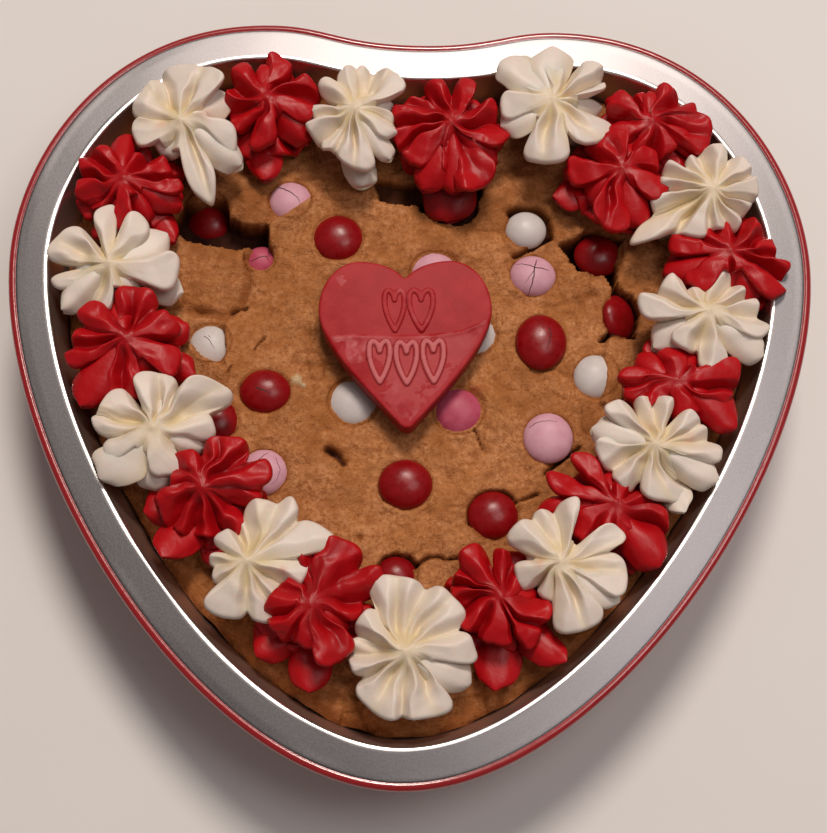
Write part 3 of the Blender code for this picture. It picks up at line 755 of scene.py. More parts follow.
def make_cookie():
    """The whole cookie: a relief over the heart's shape, and its side."""
    boundary = inset_loop(TIN_LOOP, EDGE_INSET)
    uneven = 0.5 * fractal(boundary[:, 0], boundary[:, 1], 6.0, 2, 9.0)
    boundary = inset_loop(boundary, np.maximum(uneven, -0.15)[:, None])
    low, high = boundary.min(0) - GRID, boundary.max(0) + GRID
    x, y = np.meshgrid(np.arange(low[0], high[0], GRID), np.arange(low[1], high[1], GRID))
    edge = signed_distance(x, y, boundary)
    within = edge > 0
    used, faces = cell_quads(within[:-1, :-1] | within[1:, :-1] | within[:-1, 1:] | within[1:, 1:])
    x, y, edge = x.ravel()[used], y.ravel()[used], edge.ravel()[used]
    outside = edge <= 0
    x[outside], y[outside] = snapped(x[outside], y[outside], boundary)
    height, bake_and_shade = crumb_surface(x, y, np.maximum(edge, 0.0))
    rings = cookie_side()
    count = len(TIN_LOOP)
    beside = np.zeros(len(rings) * count)
    faces += grid_faces(len(rings), count, start=len(x), flip=True)
    faces.append(cap(len(x) + (len(rings) - 1) * count, count))
    values = {
        "bake_and_shade": np.concatenate((bake_and_shade, beside + 0.45)),
        "stain": np.concatenate((stain_tone(x, y), beside)),
        "pale": np.concatenate((0.8 * sum(bit_cover(x, y, *bit[:3]) for bit in PALE_BITS), beside)),
    }
    points = np.vstack((np.column_stack((x, y, height)), *rings))
    piece = make_piece("cookie_crumb", points, faces, [crumb_material()], values=values)
    stand_for(piece, "cookie")


# Sugar-shell candies

CANDY_RINGS = 18
CANDY_SIDES = 48
CANDY_HALF = 3.3
CANDY_POWER = (2.2, 0.62)
CRACK_STEP = 0.3
CRACK_LIFT = 0.03
# Two candies get a darker, redder pink shell: painted shade and reflected red, where they lie in shade by the
# heart and a rosette.
SHADED_PINK = ("candy_pink_02", "candy_pink_06")

# A candy that leans: its tilt in degrees, width and length.
CANDY_LEAN = {"candy_red_04": (50.0, 12.6, 12.6)}

# Cracks in the shells: paths from each candy's middle, then width.
SHELL_CRACKS = {
    "candy_pink_04": (
        (((0.2, 1.3), (0.5, 2.6), (0.9, 4.0)), 0.30),
        (((0.2, 1.3), (2.0, 1.2), (4.2, 0.8)), 0.26),
        (((0.2, 1.3), (-1.4, 2.0), (-3.2, 2.5), (-4.9, 2.6)), 0.22),
        (((0.2, 1.3), (-0.1, -1.5), (-0.7, -3.8), (-1.3, -5.6)), 0.30),
        (((0.0, 0.4), (-1.2, -1.4), (-2.2, -2.8)), 0.14),
    ),
    "candy_pink_01": ((((-4.4, 3.9), (-2.6, 3.1), (0.5, 1.3), (2.0, 0.0), (2.6, -1.5)), 0.28),),
    "candy_pink_02": (
        (((-2.6, -0.7), (-0.3, 0.4), (1.8, 0.9), (2.8, 0.2)), 0.22),
        (((1.2, 0.8), (2.4, -0.8)), 0.16),
    ),
    "candy_pink_05": ((((-4.9, 2.1), (-3.6, 3.2), (-2.4, 3.7), (0.0, 3.9), (2.2, 3.8)), 0.15),),
    "candy_pink_07": (
        (((-1.6, 2.4), (0.0, 4.0), (1.3, 4.9)), 0.18),
        (((2.8, 3.4), (4.1, 0.3), (3.6, -2.0), (2.0, -3.8)), 0.12),
    ),
    "candy_red_02": ((((1.9, 3.2), (2.3, 1.4), (2.2, 0.3), (1.7, -1.6), (1.1, -3.3)), 0.24),),
    "candy_red_05": ((((-2.2, 0.3), (-0.6, -0.4), (0.4, -0.7), (1.9, -1.2)), 0.34),),
    "candy_white_04": (
        (((-1.5, 1.7), (0.1, 0.5), (1.4, -1.8)), 0.16),
        (((-0.5, 1.9), (0.4, 1.2)), 0.12),
    ),
}


def lens_top(radius_share):
    """Height of a candy's shell over its waist."""
    power, close = CANDY_POWER
    return CANDY_HALF * (1.0 - np.clip(radius_share, 0, 1) ** power) ** close


def crack_ribbon(path, width, size):
    """A thin dark strip that lies on the shell along a crack."""
    path = np.asarray(path, float)
    dense = []
    for start, end in zip(path[:-1], path[1:]):
        steps = max(2, int(np.hypot(*(end - start)) / CRACK_STEP))
        dense += [start + (end - start) * step / steps for step in range(steps)]
    dense = np.array(dense + [path[-1]])
    x, y = 1.7 * dense.T
    dense += 0.10 * np.column_stack((value_noise(x, y + 9), value_noise(x + 31, y)))
    along = np.gradient(dense, axis=0)
    along /= np.linalg.norm(along, axis=1)[:, None]
    across = np.column_stack((-along[:, 1], along[:, 0]))
    taper = 1.0 - 0.85 * (np.linspace(0, 1, len(dense)) ** 3)
    points = []
    for side in (-0.5, 0.5):
        spot = dense + across * (side * width * taper)[:, None]
        share = np.hypot(spot[:, 0] / (0.5 * size[0]), spot[:, 1] / (0.5 * size[1]))
        points.append(at_height(spot, lens_top(share) + CRACK_LIFT))
    count = len(dense)
    faces = [(count + step, count + step + 1, step + 1, step) for step in range(count - 1)]
    return np.vstack(points), faces


def shell_rings(width, length, seed):
    """Rings of a candy's shell, from near its top to near its bottom."""
    share = np.sin(np.linspace(0.0, math.pi / 2, CANDY_RINGS))
    angle = np.linspace(0.0, 2 * math.pi, CANDY_SIDES, endpoint=False)
    wobble = 1.0 + 0.012 * fractal(np.cos(angle) * 2, np.sin(angle) * 2, 2.0, 2, seed)
    rings = []
    for side, steps in ((1.0, share[1:]), (-1.0, share[1:-1][::-1])):
        for radius in steps:
            x = 0.5 * width * radius * np.cos(angle) * wobble
            y = 0.5 * length * radius * np.sin(angle) * wobble
            rings.append(at_height(np.column_stack((x, y)), side * lens_top(radius)))
    return rings


def make_candy(node, shell, core):
    """A domed sugar shell, with any cracks that show the dark middle."""
    middle, size = node_middle(node)
    tilt, width, length = CANDY_LEAN.get(node, (0.0, size[0], size[1]))
    rings = shell_rings(width, length, sum(map(ord, node)))
    points = np.vstack(([(0, 0, CANDY_HALF)], *rings, [(0, 0, -CANDY_HALF)]))
    faces = grid_faces(len(rings), CANDY_SIDES, start=1, flip=True)
    last = len(points) - 1
    lowest = last - CANDY_SIDES
    for step in range(CANDY_SIDES):
        after = (step + 1) % CANDY_SIDES
        faces.append((1 + step, 1 + after, 0))
        faces.append((lowest + after, lowest + step, last))
    slots = [0] * len(faces)
    for path, crack_width in SHELL_CRACKS.get(node, ()):
        strip, strip_faces = crack_ribbon(path, crack_width, (width, length))
        faces += [tuple(len(points) + corner for corner in face) for face in strip_faces]
        slots += [1] * len(strip_faces)
        points = np.vstack((points, strip))
    lean = math.radians(tilt)
    x = points[:, 0] * math.cos(lean) + points[:, 2] * math.sin(lean)
    z = points[:, 2] * math.cos(lean) - points[:, 0] * math.sin(lean)
    points = np.column_stack((x, points[:, 1], z)) + middle
    piece = make_piece(f"{node}_sugar", points, faces, [shell, core], slots)
    stand_for(piece, node)


def make_candies():
    shells = {
        "red": shell_material("red_shell", (0.215, 0.002, 0.004), (0.27, 0.004, 0.007), 0.24),
        "pink": shell_material("pink_shell", (0.605, 0.30, 0.375), (0.67, 0.37, 0.44), 0.42),
        "white": shell_material("white_shell", (0.575, 0.53, 0.51), (0.635, 0.59, 0.565), 0.36),
    }
    core = Look("shell_crack", 0.8)
    core.paint(core.mix(core.noise(0.8), (0.022, 0.007, 0.007), (0.050, 0.016, 0.014)))
    # A darker, redder pink: painted shade and reflected red.
    shaded_pink = shell_material("pink_shell_shaded", (0.42, 0.052, 0.10), (0.50, 0.090, 0.15), 0.42)
    for node in candy_nodes():
        make_candy(node, shaded_pink if node in SHADED_PINK else shells[node.split("_")[1]], core.material)



# The moulded candy heart

HEART_PLACE = (-0.4, 1.2)
HEART_TURN = 2.2
HEART_BASE = 28.9
HEART_THICKNESS = 6.2
HEART_TOP = HEART_BASE + HEART_THICKNESS
HEART_GRID = 0.26

# The low step across the heart's face.
STEP_PATH = ((-23, 9.0), (-18.5, 11.4), (-12, 11.8), (-4, 11.4), (6, 11.4), (14, 12.6), (23, 16.4))

# Raised outlined hearts: x, y, width, height.
ORNAMENTS = (
    (-2.7, 18.6, 5.0, 10.6),
    (4.0, 18.6, 6.0, 10.6),
    (-6.6, 5.2, 5.2, 10.6),
    (0.1, 4.8, 5.2, 10.6),
    (6.8, 5.1, 5.2, 10.6),
)
STROKE = 0.62
STROKE_RISE = 0.62
LOWER_ROW = 15.0

# Smooth dark spots on the heart's face.
GLOSSY_SPOTS = ((10.5, 27.0), (18.5, 13.5), (-3.0, -6.5))

# The heart's rounded edge: insets of the foot with heights over the base, and of the shoulder with drops
# from the top.
HEART_FOOT = ((0.5, 0.0), (0.05, 0.6), (0.0, 2.5))
HEART_SHOULDER = ((0.03, 1.0), (0.08, 0.6), (0.18, 0.32), (0.35, 0.14), (0.60, 0.04), (0.9, 0.0))


def candy_heart_loop():
    notch, peak, widest, tip = (0.0, 27.2), (11.6, 32.0), (21.9, 19.0), (0.0, -12.0)
    half = np.vstack((
        bezier(notch, (2.2, 30.2), (6.6, 32.0), peak, 14),
        bezier(peak, (17.2, 32.0), (21.9, 26.2), widest, 18),
        bezier(widest, (21.9, 9.5), (7.5, -4.5), (1.6, -11.4), 30),
        [(1.6, -11.4), (0.8, -11.9)],
    ))
    return mirrored_loop(half, tip)


def small_heart(x, y, width, height):
    """Outline of a slim heart about a middle point."""
    w, h = 0.5 * width, 0.5 * height
    half = np.vstack((
        bezier((0.0, 0.52 * h), (0.1 * w, 0.9 * h), (0.5 * w, h), (0.62 * w, h), 6),
        bezier((0.62 * w, h), (0.95 * w, h), (w, 0.7 * h), (w, 0.45 * h), 5),
        bezier((w, 0.45 * h), (w, -0.1 * h), (0.35 * w, -0.75 * h), (0.0, -h), 8),
    ))
    return mirrored_loop(half, (0.0, -h)) + (x, y)


def heart_relief(x, y, edge):
    """Height over the heart's flat top; where it is darker, with painted shade along its rim and at the foot
    of each raised stroke and with its glossy spots; and where pale bloom shows.
    """
    height = 0.12 * fractal(x, y, 9.0, 2, 20.0) + 0.03 * fractal(x, y, 1.4, 2, 21.0)
    # Painted shade along the top's rim.
    contour_and_shade = 0.15 * np.exp(-edge / 0.7)
    step = path_distance(x, y, STEP_PATH, closed=False)
    above = y > np.interp(x, *zip(*STEP_PATH))
    height += 0.22 * bell(step / 0.55) - 0.12 * np.where(above, ease(step / 1.2), 0.0)
    bloom = 0.55 * bell(step / 0.6) * (0.4 + 0.6 * fractal(x, y, 3.0, 2, 22.0))
    for ornament in ORNAMENTS:
        stroke = path_distance(x, y, small_heart(*ornament))
        raised = ease((STROKE + 0.22 - stroke) / 0.34)
        height += STROKE_RISE * raised
        # Painted shade at the foot of each raised stroke.
        contour_and_shade += 0.8 * bell((stroke - STROKE - 0.12) / 0.16)
        if ornament[1] < LOWER_ROW:
            bloom += 0.75 * raised * (stroke < STROKE)
    bloom += 0.7 * np.exp(-(((x + 12.6) / 2.6) ** 2 + ((y - 8.4) / 4.6) ** 2)) * fractal(x, y, 1.3, 3, 23.0)
    bloom += 0.28 * (~above) + 0.5 * ease(fractal(x, y, 7.0, 3, 24.0) - 0.1)
    for cx, cy in GLOSSY_SPOTS:
        patch = np.exp(-(((x - cx) / 4.0) ** 2 + ((y - cy) / 2.2) ** 2))
        patch *= 0.7 + 0.6 * fractal(x, y, 2.0, 2, 25.0)
        contour_and_shade += 0.35 * patch
        bloom -= 0.6 * patch
    return height, np.clip(contour_and_shade, 0, 1), np.clip(bloom, 0, 1)


def make_candy_heart():
    """A cast heart whose rounded top carries raised outlined hearts over two rows."""
    loop = candy_heart_loop()
    count = len(loop)
    rings = [at_height(inset_loop(loop, inset), HEART_BASE + rise) for inset, rise in HEART_FOOT]
    rings += [at_height(inset_loop(loop, inset), HEART_TOP - drop) for inset, drop in HEART_SHOULDER]
    side = np.vstack(rings)
    faces = grid_faces(len(rings), count) + [cap(0, count, flip=True)]
    boundary = inset_loop(loop, HEART_SHOULDER[-1][0] - 0.12)
    low, high = boundary.min(0), boundary.max(0)
    x, y = np.meshgrid(np.arange(low[0], high[0], HEART_GRID), np.arange(low[1], high[1], HEART_GRID))
    edge = signed_distance(x, y, boundary)
    within = edge > 0
    used, quads = cell_quads(within[:-1, :-1] & within[1:, :-1] & within[:-1, 1:] & within[1:, 1:], len(side))
    x, y, edge = x.ravel()[used], y.ravel()[used], edge.ravel()[used]
    height, contour_and_shade, bloom = heart_relief(x, y, edge)
    fade = ease(edge / 0.8)
    top = np.column_stack((x, y, HEART_TOP + 0.03 + height * fade - 0.10 * (1 - fade)))
    faces += quads + [cap(len(side) - count, count)]
    points = np.vstack((side, top))
    spin = math.radians(HEART_TURN)
    turned_x = HEART_PLACE[0] + points[:, 0] * math.cos(spin) - points[:, 1] * math.sin(spin)
    turned_y = HEART_PLACE[1] + points[:, 0] * math.sin(spin) + points[:, 1] * math.cos(spin)
    points = np.column_stack((turned_x, turned_y, points[:, 2]))
    # Painted shade down the heart's side, darkest at its foot.
    shade = np.repeat(np.maximum(0.0, 0.5 - 0.08 * np.arange(len(rings))), count)
    values = {
        "contour_and_shade": np.concatenate((shade, contour_and_shade)),
        "bloom": np.concatenate((np.zeros(len(side)), bloom)),
    }
    piece = make_piece("candy_heart_cast", points, faces, [cast_material()], values=values)
    stand_for(piece, "candy_heart")


# Icing rosettes

# Each rosette's middle and its petals, which were read where sight lines meet a level plane: direction in
# degrees, reach, half-width and tier (2 is the crown of petals round the swirl, 0 the skirt on the cookie).
# A fifth number is how hollow the petal is, and a sixth how much its end slants.
READING_LEVEL = 39.0
ROSETTES = {
    "rosette_white_01": ((-59.5, 66.5), (
        (82, 18, 8.3, 2), (42, 14.5, 5, 1), (138, 15, 5.6, 2), (192, 12.8, 4.4, 2, 1.3), (238, 9.5, 4, 1),
        (293, 23.0, 5.4, 2, 0.6), (346, 14.5, 4.5, 2), (326, 18.5, 4.5, 1))),
    "rosette_red_01": ((-38.0, 74.0), (
        (76, 14.3, 3.9, 2), (132, 13.5, 3.5, 2), (168, 11, 4, 2), (205, 10.5, 4, 2), (268, 12, 4, 2),
        (270, 21, 5.2, 0), (318, 15, 4.6, 1), (350, 12.5, 4, 2), (30, 13.5, 4, 2), (100, 12, 3, 1))),
    "rosette_white_02": ((-15.0, 71.0), (
        (105, 14, 3, 2), (78, 14.5, 3.4, 2), (50, 15.5, 5, 2), (135, 13.5, 2.6, 2), (176, 11.5, 2.5, 2),
        (205, 12.5, 3.5, 2), (240, 11.5, 3.4, 2), (268, 14.5, 4.8, 2), (277, 19.7, 4.5, 0), (308, 15.5, 3, 1),
        (352, 9.5, 3, 2), (330, 11, 3, 2), (20, 10, 3, 1))),
    "rosette_red_02": ((9.3, 68.5), (
        (106, 14, 3.3, 2), (72, 15, 3.3, 2), (145, 14, 3.6, 2), (162, 15.5, 3.6, 2), (192, 15, 3.5, 2),
        (222, 14, 4, 2), (248, 18.5, 4.5, 1), (275, 18, 3.8, 1), (300, 17.5, 5.5, 2, 1.5), (350, 14.5, 4, 2),
        (20, 13, 4, 2), (325, 15, 3.4, 1), (272, 12, 3, 2), (269, 26.0, 7.2, 0))),
    "rosette_white_03": ((35.5, 75.0), (
        (90, 12.2, 5, 2), (90, 17, 6, 1), (138, 12, 4.5, 2), (138, 18.5, 6, 1), (48, 16.5, 3.8, 2),
        (28, 15.5, 3.2, 2), (0, 13, 2.6, 1), (322, 15.5, 5.5, 2), (264, 16.2, 5.4, 2), (182, 13.5, 4, 2),
        (205, 15, 5, 1))),
    "rosette_red_03": ((61.0, 70.5), (
        (60, 12.5, 4, 2), (355, 16.3, 5.2, 2), (25, 13.5, 3.5, 2), (335, 14.5, 3, 1), (142, 12.8, 3.8, 2),
        (112, 10.5, 4, 2), (195, 11, 4, 2), (230, 11.5, 3.6, 1), (260, 9, 4, 2), (300, 9, 3.5, 2),
        (88, 10.5, 3, 1))),
    "rosette_red_04": ((53.0, 57.0), (
        (200, 18.0, 4.6, 0), (108, 12, 5, 2), (256, 14.8, 5.2, 2), (292, 15.0, 4.6, 1), (338, 13, 4.4, 2),
        (30, 11, 4, 2), (176, 13.5, 4.2, 2), (228, 11, 4, 1), (66, 11, 4, 1))),
    "rosette_white_04": ((75.5, 51.5), (
        (85, 13.8, 4, 2), (108, 12, 3.4, 2), (42, 13.5, 4.2, 2), (15, 12.8, 4, 2), (342, 10.8, 3.5, 2),
        (318, 10.8, 2.6, 2), (145, 13.5, 2.8, 2), (163, 13.3, 2.3, 2), (214, 25.0, 4.8, 2, 0.4),
        (195, 14.5, 3.5, 2), (240, 12.5, 5, 2), (272, 9, 4, 2))),
    "rosette_red_05": ((80.0, 35.6), (
        (45, 12.3, 4, 2), (15, 12.8, 4, 2), (340, 15, 4.5, 2), (322, 16.5, 3.8, 2), (80, 9, 4, 2),
        (118, 9, 4, 2), (168, 15, 3, 2), (198, 17, 4, 1), (222, 12, 4, 2), (300, 14, 4, 1), (260, 10, 4, 1),
        (145, 11, 3, 1))),
    "rosette_white_05": ((73.5, 19.0), (
        (66, 13.6, 3, 2), (30, 12.8, 4, 2), (8, 14, 4, 2), (345, 16, 3.5, 2), (325, 17.5, 4.5, 1),
        (280, 14, 4, 2), (212, 15.5, 4.6, 1), (173, 16.5, 3.8, 2), (145, 13, 4.5, 2), (235, 10.5, 4, 2),
        (105, 8, 3, 2))),
    "rosette_red_06": ((66.0, 1.5), (
        (12, 16.8, 4, 2), (326, 18.5, 5, 1), (345, 14, 3.5, 2), (168, 14, 2.6, 2), (188, 13, 3, 2),
        (140, 12, 4, 1), (95, 9.5, 4.5, 2), (207, 11.5, 3, 2), (290, 9, 4, 2), (60, 10, 4, 1),
        (240, 9, 4, 1))),
    "rosette_white_06": ((59.7, -15.4), (
        (97, 13.3, 2.7, 2), (78, 13.7, 3.4, 2), (33, 13.8, 3.9, 2), (16, 14.6, 3, 2), (357, 17.3, 3.2, 2),
        (336, 18, 4.5, 1), (285, 13.5, 6, 2), (298, 17.2, 4, 0), (228, 12.3, 3.6, 2), (190, 13, 4.3, 2, 1.3),
        (164, 15.5, 4.2, 1), (130, 14.8, 3.4, 2), (312, 13, 4, 2))),
    "rosette_red_07": ((50.5, -29.5), (
        (122, 15.8, 3, 2), (160, 17.5, 3.2, 2), (186, 19, 3.5, 1), (215, 12, 4, 2), (308, 18.5, 5.5, 1),
        (285, 17, 4, 0), (345, 14, 3.5, 2), (10, 10, 3.5, 2), (60, 8, 3.5, 2), (255, 10, 4, 2),
        (300, 10, 4, 2), (90, 9, 3, 1))),
    "rosette_white_07": ((37.0, -44.7), (
        (83, 16, 3, 2), (107, 14, 3.2, 2), (139, 14.2, 4.3, 2), (198, 10.8, 3.7, 2), (31, 17.3, 3.3, 2, 1.4),
        (352, 16.5, 5.2, 2, 0.5), (330, 17, 4.5, 1), (290, 16.3, 5.6, 2), (250, 8.5, 3, 2),
        (165, 8, 2.6, 1))),
    "rosette_red_08": ((23.0, -53.0), (
        (85, 12, 2.5, 2), (122, 15, 3.8, 2), (150, 12.2, 3.5, 2), (172, 11.5, 3.5, 2), (215, 11.5, 4, 2),
        (262, 11, 4.5, 2), (268, 21.5, 6, 0), (345, 12.8, 3.5, 2), (315, 13, 3.6, 2), (318, 21.5, 4.5, 0),
        (50, 9, 4, 2), (10, 9, 3.4, 1))),
    "rosette_white_08": ((0.8, -66.5), (
        (96, 18.5, 6.3, 2), (50, 17.8, 5.6, 2), (8, 16.5, 4.2, 2), (338, 17, 4.5, 1), (292, 16, 5.6, 2),
        (240, 15.3, 6, 2), (193, 13.2, 3.2, 2), (172, 12.8, 2.3, 2), (143, 13.6, 3.9, 2))),
    "rosette_red_09": ((-21.5, -56.0), (
        (65, 17.8, 5, 2), (98, 13.8, 3.3, 2), (26, 18.5, 3.8, 2), (2, 12, 4, 2), (300, 14.3, 4.8, 2),
        (271, 20.3, 5.5, 0), (214, 10.8, 4, 2), (224, 17.3, 6, 0), (172, 10.5, 4, 2), (140, 9, 3.4, 2),
        (255, 10, 3.4, 2), (330, 10, 3.4, 1))),
    "rosette_white_09": ((-37.0, -46.0), (
        (74, 15.8, 5, 2), (55, 18.5, 3, 2), (29, 19.6, 4.6, 2, 0.0, -0.26), (347, 13.8, 4.2, 2),
        (318, 12.5, 3, 2), (285, 14.3, 3.2, 2), (245, 14, 4.6, 2), (173, 9.5, 1.9, 2), (133, 10.3, 3.1, 2),
        (200, 9, 2.6, 2), (95, 11.5, 3, 2), (8, 12, 3.2, 1))),
    "rosette_red_10": ((-48.5, -28.5), (
        (70, 14.5, 4.8, 2), (50, 14.5, 3, 2), (20, 16.8, 3.8, 2), (357, 13.5, 3, 2), (318, 12.5, 3.5, 2),
        (283, 19.5, 4, 0), (272, 11, 4, 2), (240, 19, 5.5, 0), (205, 12, 4.5, 2), (200, 15.5, 6, 0),
        (155, 9.5, 4, 2), (120, 11, 3.5, 2), (235, 11, 3.6, 2))),
    "rosette_white_10": ((-61.2, -14.0), (
        (92, 14.6, 4.9, 2), (44, 19.0, 4.8, 2, 0.0, -0.26), (10, 14.2, 3.9, 2), (344, 12.8, 2.8, 1),
        (290, 11.5, 4.5, 2), (272, 14.5, 5, 1), (222, 17.5, 6.2, 1), (152, 15.3, 5, 2), (176, 15.4, 3, 2),
        (205, 13.5, 3.6, 2), (65, 12, 3, 1))),
    "rosette_red_11": ((-69.6, 8.3), (
        (82, 15, 5.2, 2), (32, 13, 4, 2), (20, 16, 4.5, 0), (340, 13.8, 4, 2), (336, 18.5, 4, 0),
        (278, 13.5, 3.5, 2), (255, 13, 3.5, 2), (236, 19.5, 5, 1), (198, 15.5, 3.2, 2), (175, 14, 3.2, 2),
        (140, 14.5, 4, 2), (308, 11, 3.4, 1), (110, 11, 3, 1))),
    "rosette_white_11": ((-75.0, 28.0), (
        (101, 16.8, 3.2, 2), (60, 15.4, 4, 2), (35, 16.5, 5, 1), (357, 16.8, 4.6, 2), (343, 19.3, 4.5, 0),
        (262, 12, 3, 2), (224, 16.5, 3.8, 1), (197, 15.2, 2.9, 2), (150, 16.3, 5.2, 2), (300, 10, 4, 1),
        (175, 9.5, 3, 1), (240, 11, 3.4, 2))),
    "rosette_red_12": ((-73.0, 51.0), (
        (135, 13.3, 4, 2), (158, 13.5, 3.5, 2), (185, 12.8, 3.5, 2), (212, 10.5, 3.5, 2), (95, 14, 3, 1),
        (62, 9, 3.5, 2), (25, 12, 4.5, 2), (340, 16, 3.5, 1), (358, 14, 3, 2), (270, 12.5, 3, 2),
        (300, 12, 3.5, 1), (240, 9, 3, 1), (311, 20.5, 4.0, 0))),
}

# How a rosette sits on the ones beside it: the side that lies on top (degrees), its slope, and a lift.
LEANS = {
    "rosette_red_11": (105, 0.09, 0.0),
    "rosette_white_10": (110, 0.09, 0.1),
    "rosette_red_10": (131, 0.09, 0.1),
    "rosette_white_09": (123, 0.08, 0.2),
    "rosette_red_09": (147, 0.08, 0.5),
    "rosette_white_08": (90, 0.0, 0.7),
    "rosette_white_11": (60, 0.03, -0.2),
    "rosette_white_07": (45, 0.08, 1.3),
    "rosette_white_06": (120, 0.08, 1.3),
    "rosette_red_06": (0, 0.0, -1.4),
    "rosette_red_07": (0, 0.0, -1.4),
}

# Where red colour or oil has run into the cream: direction in degrees, reach, radius, strength.
RUNS = {
    "rosette_white_01": ((20, 7.0, 1.8, 0.55), (185, 5.0, 1.4, 0.35)),
    "rosette_white_04": ((172, 8.3, 1.5, 0.45),),
    "rosette_white_06": ((14, 9.0, 1.5, 0.40),),
    "rosette_white_07": ((180, 5.0, 1.2, 0.45),),
    "rosette_white_09": ((347, 8.6, 1.0, 0.60),),
}

# Each colour's lift, and how rough its lobes are, how strong its middle's tone is and how wide; that tone is
# painted shade in the red and a yellow tint in the cream.
LIFTS = {"white": 0.8, "red": -0.8}
LOBE_KINDS = {"white": (0.20, 0.60, 5.2), "red": (0.50, 0.35, 3.2)}

# Each icing's body colour, its painted shade colour for creases, undersides and stems, its tint colour,
# roughness, relief and shine.
ICINGS = {
    "cream_icing": ((0.725, 0.63, 0.55), (0.70, 0.56, 0.33), (0.75, 0.665, 0.61), 0.46, 0.08, 0.38),
    "red_icing": ((0.425, 0.002, 0.005), (0.21, 0.000, 0.002), (0.48, 0.004, 0.009), 0.41, 0.16, 0.30),
}

# A crown's edge and stem, downwards: how far in, how far towards the evened outline, and drop.
STEM = (
    (-0.12, 0.0, 0.6), (0.1, 0.0, 1.3), (0.7, 0.1, 2.1), (1.8, 0.35, 3.2), (3.2, 0.7, 5.0), (4.2, 1.0, 8.0),
    (4.2, 1.0, 11.5),
)
STEM_WIDTH = 0.86
# Painted shade down the stem, under the crown.
STEM_SHADE = 0.25
ICING_FOOT = COOKIE_TOP - 0.8

# Heights of a petal's root and tip and of its swell, by tier. Long petals droop, and petals over the flange
# stay high.
TIER_START = (34.0, 41.2, 43.0)
TIER_TIP = (34.2, 37.2, 40.4)
TIER_CROWN = (2.2, 2.5, 2.9)
DROOP_REACH = 20.0
DEEP_REACH = 24.0
DEEP_TIP = 29.0
OVER_FLANGE = 40.6
FLANGE_MARGIN = 3.0
STRAIGHT_SHARE = 0.62
EDGE_FALL = 1.12

# The crown: its swirl, the shape of its lobes, the creases in them, and the lower crown under a red one.
SWIRL_TOP = 42.9
SWIRL_TWIST = 26.0
LEAF_SHAPE = (2.4, 1.25)
WIDE_LOBE = 4.5
WIDE_SPREAD = 1.12
SLIM_SPREAD = 0.98
SLANT = 0.18
SAME_BANK = 0.75
CROWN_ROUND = 0.6
SHALLOW = 0.5
SHALLOW_CHANCE = 0.25
FOLD_WIDTH = 4.7
FOLD_FADE = 0.85
SKIRT_DROP = 6.2
SKIRT_LOBES = 9

# How finely the meshes are cut.
STATIONS = 26
AROUND = 26
CROWN_SIDES = 224
CROWN_RINGS = 26


def along_sight(spot, z):
    """Moves a spot that was read at the reading level along its sight line to its own height."""
    share = (CAMERA_PLACE[2] - z) / (CAMERA_PLACE[2] - READING_LEVEL)
    return CAMERA_PLACE[:2] + (spot - CAMERA_PLACE[:2]) * share


def place_tip(hub, row, draw):
    """Direction, reach and height of a petal's tip, once it stands at its own height."""
    degrees, reach, _, tier = row[:4]
    tip_z = TIER_TIP[min(tier, 1) if reach > DROOP_REACH else tier] + draw.uniform(-0.5, 0.5)
    if tier == 0 and reach > DEEP_REACH:
        tip_z = DEEP_TIP
    read = hub + reach * heading(degrees)
    tip = along_sight(read, tip_z)
    if signed_distance(tip[:1], tip[1:], TIN_LOOP)[0] < FLANGE_INSET + FLANGE_MARGIN:
        tip_z = OVER_FLANGE + draw.uniform(-0.3, 0.4)
        tip = along_sight(read, tip_z)
    dx, dy = tip - hub
    return math.degrees(math.atan2(dy, dx)), math.hypot(dx, dy), tip_z


